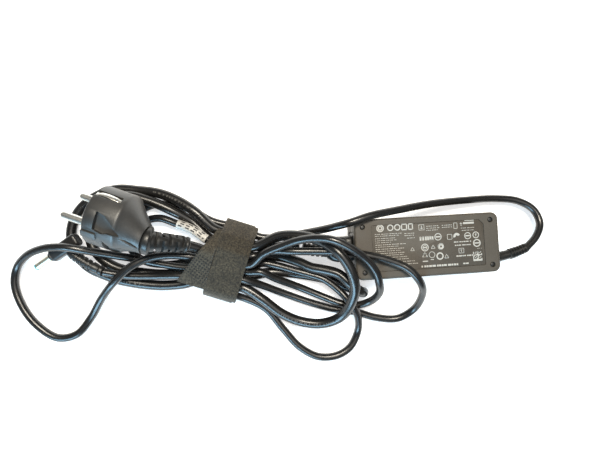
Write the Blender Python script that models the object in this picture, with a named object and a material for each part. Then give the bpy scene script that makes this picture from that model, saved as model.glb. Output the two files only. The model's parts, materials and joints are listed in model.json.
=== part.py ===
"""Laptop power adapter: a brick, a pull-out mains cord with an earthed plug,
a fixed DC cord with an angled barrel plug, and a strap round the coiled cords.

Every length below is in millimetres and is turned into metres by MM.
+X runs along the brick to the DC cord end, +Y across it, +Z up.
The origin is the middle of the brick's underside.
"""
import math

import bpy
import bmesh
from mathutils import Vector

MM = 0.001
GAP = 0.3

# ---------------------------------------------------------------- sizes
BRICK_LENGTH = 95.0
BRICK_WIDTH = 39.0
BRICK_HEIGHT = 26.5
BRICK_CORNER = 4.5
WALL = 2.0
SEAM_LOW = 13.1
SEAM_HIGH = 13.4

MAINS_RADIUS = 3.35
DC_RADIUS = 2.55

INLET_Y = 1.0
INLET_Z = 13.25
CORE_SPACING = 4.9
CORE_LOW = -2.2
CORE_HIGH = 2.6

STRAP_CENTRE = (-127.8, -0.5)
STRAP_ANGLE = -20.7
STRAP_LEFT = -10.5
STRAP_RIGHT = 11.5
STRAP_THICK = 1.0

PLUG_FACE = Vector((-205.3, 32.4, 27.0))
PLUG_REAR = Vector((0.918, -0.378, 0.122)).normalized()
PLUG_SIDE = Vector((-0.381, -0.925, 0.0)).normalized()
PLUG_UP = PLUG_SIDE.cross(PLUG_REAR).normalized()
PLUG_PINS = (PLUG_SIDE + PLUG_UP).normalized()
PLUG_EARTH = (PLUG_UP - PLUG_SIDE).normalized()

DC_TIP = Vector((-254.5, 1.2, 4.8))
DC_TILT = math.radians(13.0)
DC_AHEAD = Vector((0.870 * math.cos(DC_TILT), 0.494 * math.cos(DC_TILT), math.sin(DC_TILT))).normalized()
DC_SIDE = Vector((-0.494, 0.870, 0.0)).normalized()
DC_UP = DC_AHEAD.cross(DC_SIDE).normalized()

# ---------------------------------------------------------------- materials
FINISHES = {
    "case_plastic": ((0.045, 0.041, 0.038), 0.55, 0.0),
    "label_film": ((0.62, 0.61, 0.58), 0.6, 0.0),
    "foot_rubber": ((0.03, 0.03, 0.03), 0.85, 0.0),
    "board_laminate": ((0.05, 0.16, 0.06), 0.5, 0.0),
    "black_plastic": ((0.02, 0.02, 0.021), 0.45, 0.0),
    "pin_brass": ((0.78, 0.72, 0.55), 0.25, 1.0),
    "choke_ferrite": ((0.07, 0.07, 0.08), 0.6, 0.0),
    "winding_copper": ((0.55, 0.24, 0.08), 0.35, 1.0),
    "film_yellow": ((0.65, 0.5, 0.05), 0.5, 0.0),
    "disc_blue": ((0.05, 0.16, 0.4), 0.5, 0.0),
    "can_sleeve": ((0.05, 0.06, 0.09), 0.4, 0.0),
    "sink_aluminium": ((0.75, 0.75, 0.76), 0.4, 1.0),
    "sheet_clear": ((0.5, 0.5, 0.46), 0.4, 0.0),
    "cord_jacket": ((0.018, 0.018, 0.019), 0.4, 0.0),
    "plug_plastic": ((0.03, 0.03, 0.032), 0.5, 0.0),
    "plated_metal": ((0.8, 0.79, 0.76), 0.2, 1.0),
    "tip_blue": ((0.03, 0.55, 0.62), 0.4, 0.0),
    "strap_weave": ((0.06, 0.05, 0.035), 0.9, 0.0),
    "sleeve_label": ((0.7, 0.69, 0.66), 0.6, 0.0),
}


def clear_scene():
    for obj in list(bpy.data.objects):
        bpy.data.objects.remove(obj, do_unlink=True)


def paint(obj, finish):
    colour, roughness, metallic = FINISHES[finish]
    material = bpy.data.materials.new(obj.name + "_" + finish)
    material.use_nodes = True
    shader = material.node_tree.nodes["Principled BSDF"]
    shader.inputs["Base Color"].default_value = (colour[0], colour[1], colour[2], 1.0)
    shader.inputs["Roughness"].default_value = roughness
    shader.inputs["Metallic"].default_value = metallic
    obj.data.materials.clear()
    obj.data.materials.append(material)


# ---------------------------------------------------------------- meshes
def add_mesh(name, points, faces, finish, origin=(0.0, 0.0, 0.0)):
    """One closed mesh, faces outward; origin is where the object's own origin goes."""
    shift = Vector(origin)
    mesh = bpy.data.meshes.new(name)
    mesh.from_pydata([tuple((Vector(p) - shift) * MM) for p in points], [], faces)
    shell = bmesh.new()
    shell.from_mesh(mesh)
    bmesh.ops.recalc_face_normals(shell, faces=shell.faces)
    shell.to_mesh(mesh)
    shell.free()
    mesh.shade_smooth()
    mesh.set_sharp_from_angle(angle=math.radians(38.0))
    obj = bpy.data.objects.new(name, mesh)
    obj.location = shift * MM
    bpy.context.scene.collection.objects.link(obj)
    if finish:
        paint(obj, finish)
    return obj


def ring_solid(name, rings, finish, looped=False, origin=(0.0, 0.0, 0.0)):
    """Skin a row of equal rings. A looped row closes on itself, else both ends are capped."""
    count = len(rings[0])
    points = [p for ring in rings for p in ring]
    faces = []
    last = len(rings) if looped else len(rings) - 1
    for i in range(last):
        a = i * count
        b = ((i + 1) % len(rings)) * count
        for k in range(count):
            n = (k + 1) % count
            faces.append((a + k, a + n, b + n, b + k))
    if not looped:
        faces.append(tuple(range(count)))
        faces.append(tuple(range(len(points) - count, len(points))))
    return add_mesh(name, points, faces, finish, origin)


def rounded_rect(width, height, radius, steps=4):
    """Corners of a rounded rectangle round (0, 0), counter-clockwise."""
    radius = max(0.05, min(radius, width / 2 - 0.01, height / 2 - 0.01))
    centres = (
        (width / 2 - radius, height / 2 - radius, 0.0),
        (radius - width / 2, height / 2 - radius, 90.0),
        (radius - width / 2, radius - height / 2, 180.0),
        (width / 2 - radius, radius - height / 2, 270.0),
    )
    outline = []
    for x, y, start in centres:
        for i in range(steps + 1):
            a = math.radians(start + 90.0 * i / steps)
            outline.append((x + radius * math.cos(a), y + radius * math.sin(a)))
    return outline


def circle(radius, count):
    step = 2 * math.pi / count
    return [(radius * math.cos(step * i), radius * math.sin(step * i)) for i in range(count)]


def placed(outline, centre, u, v):
    return [centre + u * a + v * b for a, b in outline]


def side_axes(direction, hint=Vector((0.0, 0.0, 1.0))):
    """Two unit vectors square to a direction, the second as near to the hint as it can be."""
    direction = direction.normalized()
    if abs(direction.dot(hint)) > 0.95:
        hint = Vector((0.0, 1.0, 0.0))
    u = hint.cross(direction).normalized()
    return u, direction.cross(u).normalized()


def lathe(name, start, direction, profile, finish, sides=16, looped=False, origin=(0.0, 0.0, 0.0)):
    """Turned shape: profile is a row of (distance along, radius)."""
    direction = direction.normalized()
    u, v = side_axes(direction)
    rings = [placed(circle(r, sides), start + direction * t, u, v) for t, r in profile]
    return ring_solid(name, rings, finish, looped, origin)


def box(name, low, high, finish, bevel=0.0, origin=(0.0, 0.0, 0.0)):
    """A plain box, with its long edges rounded when a bevel is given."""
    wide = high[0] - low[0]
    deep = high[1] - low[1]
    middle = Vector(((low[0] + high[0]) / 2, (low[1] + high[1]) / 2, 0.0))
    x, y = Vector((1.0, 0.0, 0.0)), Vector((0.0, 1.0, 0.0))
    if bevel <= 0.0:
        flat = [(wide / 2, deep / 2), (-wide / 2, deep / 2), (-wide / 2, -deep / 2), (wide / 2, -deep / 2)]
        rings = [placed(flat, middle + Vector((0, 0, z)), x, y) for z in (low[2], high[2])]
        return ring_solid(name, rings, finish, origin=origin)
    rings = []
    for z, inset in ((low[2], bevel), (low[2] + bevel, 0.0), (high[2] - bevel, 0.0), (high[2], bevel)):
        outline = rounded_rect(wide - 2 * inset, deep - 2 * inset, bevel + 0.3, 2)
        rings.append(placed(outline, middle + Vector((0, 0, z)), x, y))
    return ring_solid(name, rings, finish, origin=origin)


def cut(target, cutter):
    """Take a helper solid away from a part; the helper itself is hidden."""
    cutter.hide_render = True
    cutter.display_type = "WIRE"
    modifier = target.modifiers.new("cut_" + cutter.name, "BOOLEAN")
    modifier.operation = "DIFFERENCE"
    modifier.solver = "EXACT"
    modifier.object = cutter


def bezier(controls, t):
    while len(controls) > 1:
        controls = [a.lerp(b, t) for a, b in zip(controls, controls[1:])]
    return controls[0]


def bezier_slope(controls, t):
    return bezier([b - a for a, b in zip(controls, controls[1:])], t).normalized()


def bent_lathe(name, controls, profile, finish, sides=16):
    """A turned shape whose axis bends: profile is a row of (0 to 1 along, radius)."""
    rings = []
    for t, radius in profile:
        u, v = side_axes(bezier_slope(controls, t))
        rings.append(placed(circle(radius, sides), bezier(controls, t), u, v))
    return ring_solid(name, rings, finish)


def ribbed(first, last, count, outer_start, outer_end, depth):
    """Profile of a strain relief: ribs with grooves between them, tapering."""
    profile = []
    pitch = (last - first) / count
    for i in range(count):
        t = first + pitch * i
        share = i / max(1, count - 1)
        outer = outer_start + (outer_end - outer_start) * share
        profile.append((t, outer))
        profile.append((t + pitch * 0.55, outer))
        if i < count - 1:
            profile.append((t + pitch * 0.6, outer - depth))
            profile.append((t + pitch * 0.95, outer - depth))
    return profile


# ---------------------------------------------------------------- cord routes
# Where each cord passes the strap: stations along the strap's own axis, and at
# each of them how far across (first number) and how high (second number).
STATIONS = (-17, -7, 3, 14)
SLOTS = {
    "d1": ((19.6, 4.4), (20.2, 4.4), (20.2, 4.4), (19, 4.4)),
    "m1": ((15.4, 9.4), (14.8, 7.6), (13.4, 5.8), (12.4, 5.6)),
    "m3": ((8, 5.3), (7.7, 8), (8.8, 11.8), (12.8, 13.2)),
    "d5": ((7, 12.6), (7, 15), (4.2, 16.4), (5.8, 13.2)),
    "m5": ((0, 17), (0.2, 13.4), (2, 8.6), (5, 5)),
    "d3": ((-6, 12.2), (-6.2, 14.2), (-2.8, 14.8), (0, 15.8)),
    "d4": ((-11.7, 11.2), (-11.8, 12), (-11.3, 12.1), (-11, 11.6)),
    "d7": ((-17.4, 12.2), (-21, 11.8), (-23.6, 9.4), (-23.4, 4.6)),
    "m2": ((-21.2, 5.2), (-20.8, 5.2), (-18.2, 5.4), (-16.6, 7.4)),
    "m4": ((-13.9, 5.2), (-13.6, 5.2), (-11.2, 5), (-9, 4.6)),
    "d2": ((-7.6, 4.4), (-7.3, 6.6), (-6, 9.4), (-5.4, 11)),
    "d6": ((-2, 4.4), (-2.2, 4.4), (-2.9, 4.4), (-2.6, 6.6)),
}


def strap_point(along, across, height):
    a = math.radians(STRAP_ANGLE)
    x = STRAP_CENTRE[0] + along * math.cos(a) - across * math.sin(a)
    y = STRAP_CENTRE[1] + along * math.sin(a) + across * math.cos(a)
    return (x, y, height)


def right(slot):
    return [strap_point(u, v, z) for u, (v, z) in zip(STATIONS, SLOTS[slot])]


def left(slot):
    return right(slot)[::-1]


# From the connector's strain relief to the mains plug's.
MAINS_ROUTE = [
    (-82.5, 4, 13.4), (-90.5, 4.5, 12.2), (-101, 5.6, 9),
    *left("m1"),
    (-149, 31, 10.8), (-159, 38.5, 9), (-172.5, 45, 6.6), (-187, 48, 4.2), (-201.5, 49.5, 3.6),
    (-215, 45.5, 3.6), (-225.5, 37.5, 3.6), (-231.5, 25.5, 3.6), (-231, 12.5, 3.6), (-223.5, 0.5, 3.6),
    (-211, -7, 3.6), (-196, -12.4, 3.6), (-176.5, -16, 3.6), (-160.5, -16, 4),
    *right("m2"),
    (-109, -29, 8.6), (-96, -40, 7.6), (-82.5, -46.5, 7), (-69, -48, 9), (-57.5, -43.5, 14),
    (-51.5, -33.5, 22.4), (-49.5, -23, 28.6), (-53, -10, 32.4), (-60, 0.5, 32.2), (-69.5, 7.5, 26),
    (-82, 11.5, 21.6), (-95.5, 12, 17),
    *left("m3"),
    (-152.5, 25, 5), (-164.5, 33, 8.2), (-179.5, 40.5, 9), (-194, 44.5, 8.6), (-207.5, 41.6, 6.4),
    (-216.5, 32, 3.8), (-220, 18.5, 3.6), (-215.5, 7, 3.6), (-204.5, -2, 3.6), (-189, -6.5, 3.6),
    (-170.5, -9, 3.6),
    *right("m4"),
    (-102, -12, 3.8), (-81, -15, 3.6), (-59.5, -21, 3.6), (-49, -26.3, 3.8), (-43, -28.6, 6),
    (-41.2, -28.6, 12), (-43.6, -27.6, 18), (-50, -22.8, 20.8), (-58, -15, 18.6), (-68, -11.6, 15.8),
    (-75.5, -9.8, 13.8), (-83.5, -5.8, 10.8), (-95, -2, 6.4),
    *left("m5"),
    (-147.5, 7.5, 18.8), (-152.5, 9.5, 21),
]

# From the brick's strain relief to the DC plug's.
DC_ROUTE = [
    (73.5, -5.5, 13), (81, 1, 11.6), (86, 10, 9), (83, 20, 7), (73, 26.5, 6), (57.5, 29, 6),
    (34, 29, 9), (6.5, 27.5, 16), (-17.5, 24.5, 24), (-37.5, 21.5, 30), (-50.5, 18, 30.6),
    (-57.5, 16.5, 27), (-65, 15, 21.6), (-79, 13, 12), (-96, 11, 5.4),
    *left("d1"),
    (-141.5, 26, 4.2), (-152.5, 33, 3.4), (-165.5, 37.5, 2.7), (-180, 37.5, 2.7), (-191, 30, 2.7),
    (-195, 18, 2.7), (-193, 7.5, 2.7), (-185, 0.5, 2.7), (-172, -2.4, 2.7),
    *right("d2"),
    (-108.5, -10.8, 12.8), (-99, -16, 9.4), (-83, -23.5, 4.8), (-66.5, -31.5, 4.8), (-56, -36, 7),
    (-46.5, -38, 7.4), (-36.5, -35, 11.6), (-32.5, -28, 22), (-34, -21, 29), (-36, -14.5, 31.6),
    (-43, -5, 35), (-53.5, 3, 38.2), (-63.5, 8, 38.2), (-73.5, 9.5, 34), (-84.5, 8.5, 28),
    (-95, 5.5, 24.4), (-105.5, 1.5, 20.8),
    *left("d3"),
    (-155, 2.5, 14), (-168.5, 4, 15.2), (-181, 2.5, 15.8), (-192.5, -2.5, 16.4), (-203, -11.5, 14.8),
    (-213, -21.5, 8.4), (-222.5, -34.5, 3.2), (-232, -44.5, 2.8), (-244.5, -46, 2.8),
    (-257.5, -36.5, 2.8), (-266, -23.5, 2.8), (-270, -9, 2.8), (-267, 2, 4.6), (-256.5, 10, 11),
    (-243.5, 13.5, 16.2), (-232.5, 13.5, 18.8), (-226.5, 12.6, 19.1), (-220.5, 11, 18), (-208, 7.5, 12.8),
    (-192, 3.5, 10), (-175.5, -1, 9.2), (-160, -4.5, 10),
    *right("d4"),
    (-108.5, -20, 7.8), (-94, -27, 3.6), (-76.5, -34.5, 2.7), (-60.5, -40, 2.7), (-46, -43, 2.7),
    (-31.5, -48, 2.7), (-17, -49.5, 3.6), (-6, -43, 7.6), (-3.5, -31, 20), (-6.5, -24, 27.6),
    (-10, -19, 30.2), (-14, -14.5, 30.6), (-20, -10.5, 29.8), (-32.5, -5.5, 29.6), (-46.5, -2, 29.6),
    (-60, 0, 25.6), (-73.5, 1, 23.1), (-89, 2, 21.3), (-100, 2.5, 17.2),
    *left("d5"),
    (-152, 20, 11.2), (-162.5, 24.5, 9.4), (-172.5, 28.5, 8.6), (-183, 27, 4.8), (-189, 18.5, 2.8),
    (-186.5, 9.5, 2.7), (-178, 4, 2.7), (-167, 3.4, 2.8),
    *right("d6"),
    (-107.5, -5.3, 9.4), (-98.5, -7.2, 9.6), (-84, -12.2, 9.4), (-75.5, -15, 9.8), (-67, -18.5, 11),
    (-57, -27, 12.4), (-50.5, -35.5, 14.2), (-45.5, -45, 9.6), (-45, -56, 3.6), (-51, -67, 2.8),
    (-61, -72, 2.8), (-73.5, -71.5, 2.8), (-85.5, -64, 2.8), (-96, -51, 2.8), (-107, -36.5, 2.8),
    *left("d7"),
    (-160, -9.8, 12.4), (-179.5, -9, 10), (-196.5, -7.5, 9.7), (-209.8, -4.4, 10.4),
]


def smooth_route(route, spacing=2.0):
    """A smooth curve through every route point, as evenly spaced points."""
    points = [Vector(p) for p in route]
    points = [points[0] * 2 - points[1]] + points + [points[-1] * 2 - points[-2]]
    fine = []
    for i in range(1, len(points) - 2):
        p0, p1, p2, p3 = points[i - 1:i + 3]
        t1 = math.sqrt((p1 - p0).length)
        t2 = t1 + math.sqrt((p2 - p1).length)
        t3 = t2 + math.sqrt((p3 - p2).length)
        steps = max(2, int((p2 - p1).length * 1.5))
        for k in range(steps):
            t = t1 + (t2 - t1) * k / steps
            a1 = p0 * ((t1 - t) / t1) + p1 * (t / t1)
            a2 = p1 * ((t2 - t) / (t2 - t1)) + p2 * ((t - t1) / (t2 - t1))
            a3 = p2 * ((t3 - t) / (t3 - t2)) + p3 * ((t - t2) / (t3 - t2))
            b1 = a1 * ((t2 - t) / t2) + a2 * (t / t2)
            b2 = a2 * ((t3 - t) / (t3 - t1)) + a3 * ((t - t1) / (t3 - t1))
            fine.append(b1 * ((t2 - t) / (t2 - t1)) + b2 * ((t - t1) / (t2 - t1)))
    fine.append(points[-2].copy())
    return even_points(fine, spacing)


def even_points(fine, spacing):
    total = route_length(fine)
    count = max(2, round(total / spacing))
    wanted = [total * i / count for i in range(count + 1)]
    result = []
    travelled = 0.0
    k = 0
    for target in wanted:
        while k < len(fine) - 2 and travelled + (fine[k + 1] - fine[k]).length < target:
            travelled += (fine[k + 1] - fine[k]).length
            k += 1
        piece = (fine[k + 1] - fine[k]).length
        share = min(1.0, (target - travelled) / piece) if piece > 0 else 0.0
        result.append(fine[k].lerp(fine[k + 1], share))
    return result


def route_length(points):
    return sum((b - a).length for a, b in zip(points, points[1:]))


def thinned(points, longest=15.0, turn=15.0):
    """Keep points so that no stretch is longer or turns further than stated."""
    kept = [points[0]]
    start = (points[1] - points[0]).normalized()
    travelled = 0.0
    for i in range(1, len(points) - 1):
        travelled += (points[i] - points[i - 1]).length
        ahead = (points[i + 1] - points[i]).normalized()
        bend = math.degrees(start.angle(ahead))
        if travelled >= longest or bend >= turn:
            kept.append(points[i])
            start = ahead
            travelled = 0.0
    if (kept[-1] - points[-1]).length < 2.0 and len(kept) > 2:
        kept.pop()
    kept.append(points[-1])
    return kept


def tube(name, points, radius, finish):
    """A round cord as a curve with filled ends."""
    curve = bpy.data.curves.new(name, "CURVE")
    curve.dimensions = "3D"
    curve.bevel_depth = radius * MM
    curve.bevel_resolution = 2
    curve.resolution_u = 1
    curve.use_fill_caps = True
    spline = curve.splines.new("POLY")
    spline.points.add(len(points) - 1)
    for target, point in zip(spline.points, points):
        target.co = (point.x * MM, point.y * MM, point.z * MM, 1.0)
    obj = bpy.data.objects.new(name, curve)
    bpy.context.scene.collection.objects.link(obj)
    paint(obj, finish)
    return obj


# ---------------------------------------------------------------- brick
def shell(name, layers, finish="case_plastic"):
    """One half of the case: layers are (height, inset from the brick's outside)."""
    rings = []
    for z, inset in layers:
        outline = rounded_rect(BRICK_LENGTH - 2 * inset, BRICK_WIDTH - 2 * inset, BRICK_CORNER - inset * 0.9, 4)
        rings.append([Vector((x, y, z)) for x, y in outline])
    return ring_solid(name, rings, finish)


def build_brick():
    top_z = BRICK_HEIGHT
    bottom = shell("bottom_shell", (
        (0.0, 1.5), (0.45, 0.45), (1.5, 0.0), (SEAM_LOW - 0.25, 0.0), (SEAM_LOW, 0.25),
        (SEAM_LOW, WALL), (WALL, WALL),
    ))
    top = shell("top_shell", (
        (top_z, 1.5), (top_z - 0.45, 0.45), (top_z - 1.5, 0.0), (SEAM_HIGH + 0.25, 0.0), (SEAM_HIGH, 0.25),
        (SEAM_HIGH, WALL), (top_z - WALL, WALL),
    ))
    socket = box("cut_inlet", (-52, INLET_Y - 10.6, INLET_Z - 8.1), (-44.4, INLET_Y + 10.6, INLET_Z + 8.1), None)
    outlet = lathe("cut_outlet", Vector((44, -11.5, 13.25)), Vector((1, 0, 0)), ((0, 4.8), (8, 4.8)), None, 20)
    for half in (bottom, top):
        cut(half, socket)
        cut(half, outlet)
    recess = rounded_rect(74.0, 30.0, 1.6, 3)
    rings = [[Vector((x + 0.5, y + 0.3, z)) for x, y in recess] for z in (25.7, 28.0)]
    cut(top, ring_solid("cut_label", rings, None))
    plate = rounded_rect(73.4, 29.4, 1.3, 3)
    rings = [[Vector((x + 0.5, y + 0.3, z)) for x, y in plate] for z in (25.9, 26.25)]
    ring_solid("rating_label_plate", rings, "label_film")
    number = 1
    for x in (-42.1, 42.1):
        for y in (-14.6, 14.6):
            pit = lathe("cut_foot_%d" % number, Vector((x, y, 25.2)), Vector((0, 0, 1)), ((0, 1.9), (3, 1.9)), None, 16)
            cut(top, pit)
            profile = ((0, 1.4), (0.5, 1.45), (0.8, 1.3), (0.98, 0.9), (1.04, 0.4))
            lathe("rubber_foot_%d" % number, Vector((x, y, 25.4)), Vector((0, 0, 1)), profile, "foot_rubber", 12)
            number += 1


def clover(scale=1.0, grow=0.0, steps=30):
    """Three-lobed outline of the mains connector, as (across, up) points."""
    lobe = 3.4 * scale + grow
    centres = [(-CORE_SPACING * scale, CORE_LOW * scale), (CORE_SPACING * scale, CORE_LOW * scale),
               (0.0, CORE_HIGH * scale)]
    hub = (0.0, -0.4 * scale)
    outline = []
    for i in range(steps):
        a = 2 * math.pi * i / steps
        ray = (math.cos(a), math.sin(a))
        reach = 3.9 * scale + grow
        for cx, cy in centres:
            dx, dy = cx - hub[0], cy - hub[1]
            near = dx * ray[0] + dy * ray[1]
            off = dx * dx + dy * dy - near * near
            if off < lobe * lobe and near > -lobe:
                reach = max(reach, near + math.sqrt(lobe * lobe - off))
        outline.append((hub[0] + ray[0] * reach, hub[1] + ray[1] * reach))
    return outline


def inlet_ring(outline, x):
    return [Vector((x, INLET_Y + a, INLET_Z + b)) for a, b in outline]


def contact_places():
    return {
        "line": (INLET_Y - CORE_SPACING, INLET_Z + CORE_LOW),
        "neutral": (INLET_Y + CORE_SPACING, INLET_Z + CORE_LOW),
        "earth": (INLET_Y, INLET_Z + CORE_HIGH),
    }


def build_inlet():
    body = rounded_rect(20.6, 15.6, 1.6, 3)
    layers = ((-47.2, 0.4), (-46.8, 0.0), (-31.0, 0.0))
    rings = [inlet_ring(rounded_rect(20.6 - 2 * s, 15.6 - 2 * s, 1.6, 3), x) for x, s in layers]
    housing = ring_solid("inlet_housing", rings, "black_plastic")
    hollow = clover(1.0, 0.4)
    cut(housing, ring_solid("cut_clover", [inlet_ring(hollow, x) for x in (-49.0, -35.2)], None))
    for name, (y, z) in contact_places().items():
        start = Vector((-36.0, y, z))
        cut(housing, lathe("cut_pin_" + name, start, Vector((1, 0, 0)), ((0, 1.4), (6, 1.4)), None, 12))
        pin = ((0, 0.6), (0.6, 1.1), (1.2, 1.15), (14.5, 1.15))
        lathe("inlet_pin_" + name, Vector((-44.0, y, z)), Vector((1, 0, 0)), pin, "pin_brass", 12)


# ---------------------------------------------------------------- inside the brick
def build_inside():
    box("insulating_sheet", (-30, -17, 2.8), (44, 17, 3.3), "sheet_clear")
    box("circuit_board", (-30.5, -16.5, 6.0), (43, 16.5, 7.6), "board_laminate")
    base = 7.9
    box("fuse", (-30.3, 11.2, base), (-21.8, 15.2, base + 8), "black_plastic", 0.5)
    choke = ((-3.5, 3.3), (-3.5, 6.4), (-2.9, 7.0), (2.9, 7.0), (3.5, 6.4), (3.5, 3.3))
    lathe("emi_choke", Vector((-21, 3, 15.2)), Vector((1, 0, 0)), choke, "choke_ferrite", 14, looped=True)
    box("x_capacitor", (-28.5, -14.5, base), (-15.5, -8.5, base + 11), "film_yellow", 0.6)
    box("bridge_rectifier", (-14.3, -16, base), (-10.3, -9, base + 5), "black_plastic", 0.4)
    can = ((0, 5.9), (0.6, 6.5), (1.8, 6.1), (2.6, 6.5), (24.4, 6.5), (25, 5.9))
    lathe("bulk_capacitor", Vector((-14, 9.5, 14.7)), Vector((1, 0, 0)), can, "can_sleeve", 14)
    box("switching_transistor", (-5, -14.45, base), (5, -9.95, base + 15), "black_plastic", 0.4)
    box("primary_heat_sink", (-9, -16.25, base), (9, -14.75, base + 16), "sink_aluminium", 0.3)
    build_transformer(Vector((18.5, -3.5, 0)), base)
    disc = ((0, 3.0), (0.5, 3.5), (2.5, 3.5), (3.0, 3.0))
    lathe("y_capacitor", Vector((14, 13.5, base + 3.6)), Vector((1, 0, 0)), disc, "disc_blue", 16)
    box("optocoupler", (18.8, 10.7, base), (25.2, 15.3, base + 3.5), "black_plastic", 0.3)
    box("output_rectifier", (28, -14.5, base), (38, -10, base + 15), "black_plastic", 0.4)
    box("secondary_heat_sink", (26, -16.35, base), (40, -14.85, base + 16), "sink_aluminium", 0.3)
    small = ((0, 4.0), (11.8, 4.0), (12.3, 3.7), (12.6, 4.0), (13.6, 4.0), (14, 3.6))
    for number, y in ((1, 3.6), (2, 12.6)):
        lathe("output_capacitor_%d" % number, Vector((34, y, base)), Vector((0, 0, 1)), small, "can_sleeve", 12)
    bobbin = ((0, 3.5), (1, 3.5), (1.2, 2.9), (7.8, 2.9), (8, 3.5), (9, 3.5))
    lathe("output_choke", Vector((38, -4.8, base)), Vector((0, 0, 1)), bobbin, "winding_copper", 12)


def build_transformer(centre, base):
    """Ferrite core with two windows; the winding goes round its middle leg."""
    low = centre + Vector((-11, -6, base))
    high = centre + Vector((11, 6, base + 16))
    core = box("transformer_core", low, high, "choke_ferrite")
    for number, side in ((1, -1), (2, 1)):
        middle = centre.x + side * 5.2
        window = box("cut_window_%d" % number, (middle - 2.3, centre.y - 8, base + 3.2),
                     (middle + 2.3, centre.y + 8, base + 12.8), None)
        cut(core, window)
    x, y = Vector((1, 0, 0)), Vector((0, 1, 0))
    rings = []
    for z, wide, deep, corner in (
        (base + 3.6, 6.5, 12.7, 0.5), (base + 3.6, 13.9, 16.0, 2.0),
        (base + 12.4, 13.9, 16.0, 2.0), (base + 12.4, 6.5, 12.7, 0.5),
    ):
        rings.append(placed(rounded_rect(wide, deep, corner, 2), Vector((centre.x, centre.y, z)), x, y))
    ring_solid("transformer_winding", rings, "winding_copper", looped=True)


# ---------------------------------------------------------------- cord ends at the brick
def build_dc_grommet():
    """Strain relief of the DC cord: held in the case wall by a flange inside it."""
    start = Vector((42.6, -11.5, 13.25))
    bend = Vector((58.0, -11.5, 13.2))
    end = Vector((73.2, -5.7, 13.0))
    profile = [(0.0, 5.3), (0.05, 5.3), (0.06, 4.4), (0.172, 4.4), (0.175, 4.6), (0.2, 4.6), (0.24, 4.0),
               (0.38, 3.4)]
    profile += ribbed(0.44, 0.99, 6, 3.7, 3.3, 0.5)
    bent_lathe("dc_cord_grommet", (start, bend, end), profile, "black_plastic", 12)


def build_connector():
    """Three-contact mains connector; its origin is on the line it pulls out along."""
    origin = (-47.5, INLET_Y, INLET_Z)
    layers = ((-53.0, 0.74), (-47.5, 0.74), (-47.5, 1.0), (-38.3, 1.0), (-37.7, 0.93))
    insert = ring_solid("mains_connector_insert", [inlet_ring(clover(s), x) for x, s in layers],
                        "black_plastic", origin=origin)
    for name, (y, z) in contact_places().items():
        bore = ((0, 2.3), (11, 2.3))
        cut(insert, lathe("cut_bore_" + name, Vector((-47.2, y, z)), Vector((1, 0, 0)), bore, None, 12))
        sleeve = ((0, 1.45), (0, 2.0), (9, 2.0), (9, 1.45))
        lathe("connector_sleeve_" + name, Vector((-47.0, y, z)), Vector((1, 0, 0)), sleeve, "pin_brass", 12,
              looped=True, origin=origin)
    grip_layers = ((-47.8, 15.6, 12.4, 2.6), (-48.5, 16.8, 13.5, 3.2), (-58.5, 16.8, 13.5, 3.2),
                   (-62.0, 14.2, 12.4, 3.6), (-64.0, 12.2, 11.2, 5.0))
    rings = []
    for x, wide, high, corner in grip_layers:
        outline = rounded_rect(wide, high, corner, 2)
        rings.append([Vector((x, INLET_Y - a, INLET_Z + b)) for a, b in outline])
    start = Vector((-64.0, INLET_Y, INLET_Z))
    bend = Vector((-73.0, INLET_Y, 13.3))
    end = Vector((-82.2, 3.9, 13.4))
    for t, radius in [(0.03, 4.9)] + ribbed(0.12, 0.99, 5, 4.6, 4.1, 0.8):
        u, v = side_axes(bezier_slope((start, bend, end), t))
        outline = rounded_rect(2 * radius, 2 * radius, radius, 2)
        rings.append(placed(outline, bezier((start, bend, end), t), u, v))
    grip = ring_solid("mains_connector_overmould", rings, "black_plastic", origin=origin)
    pocket = [inlet_ring(clover(0.74, 0.3), x) for x in (-45.0, -53.3)]
    cut(grip, ring_solid("cut_pocket", pocket, None))


# ---------------------------------------------------------------- mains plug
def plug_point(rear, pins, earth):
    return PLUG_FACE + PLUG_REAR * rear + PLUG_PINS * pins + PLUG_EARTH * earth


def plug_box(name, rear, pins, earth, finish=None):
    """A box square to the plug: three (low, high) ranges along its own axes."""
    rings = []
    for r in rear:
        corners = ((pins[0], earth[0]), (pins[1], earth[0]), (pins[1], earth[1]), (pins[0], earth[1]))
        rings.append([plug_point(r, a, b) for a, b in corners])
    return ring_solid(name, rings, finish)


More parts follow.
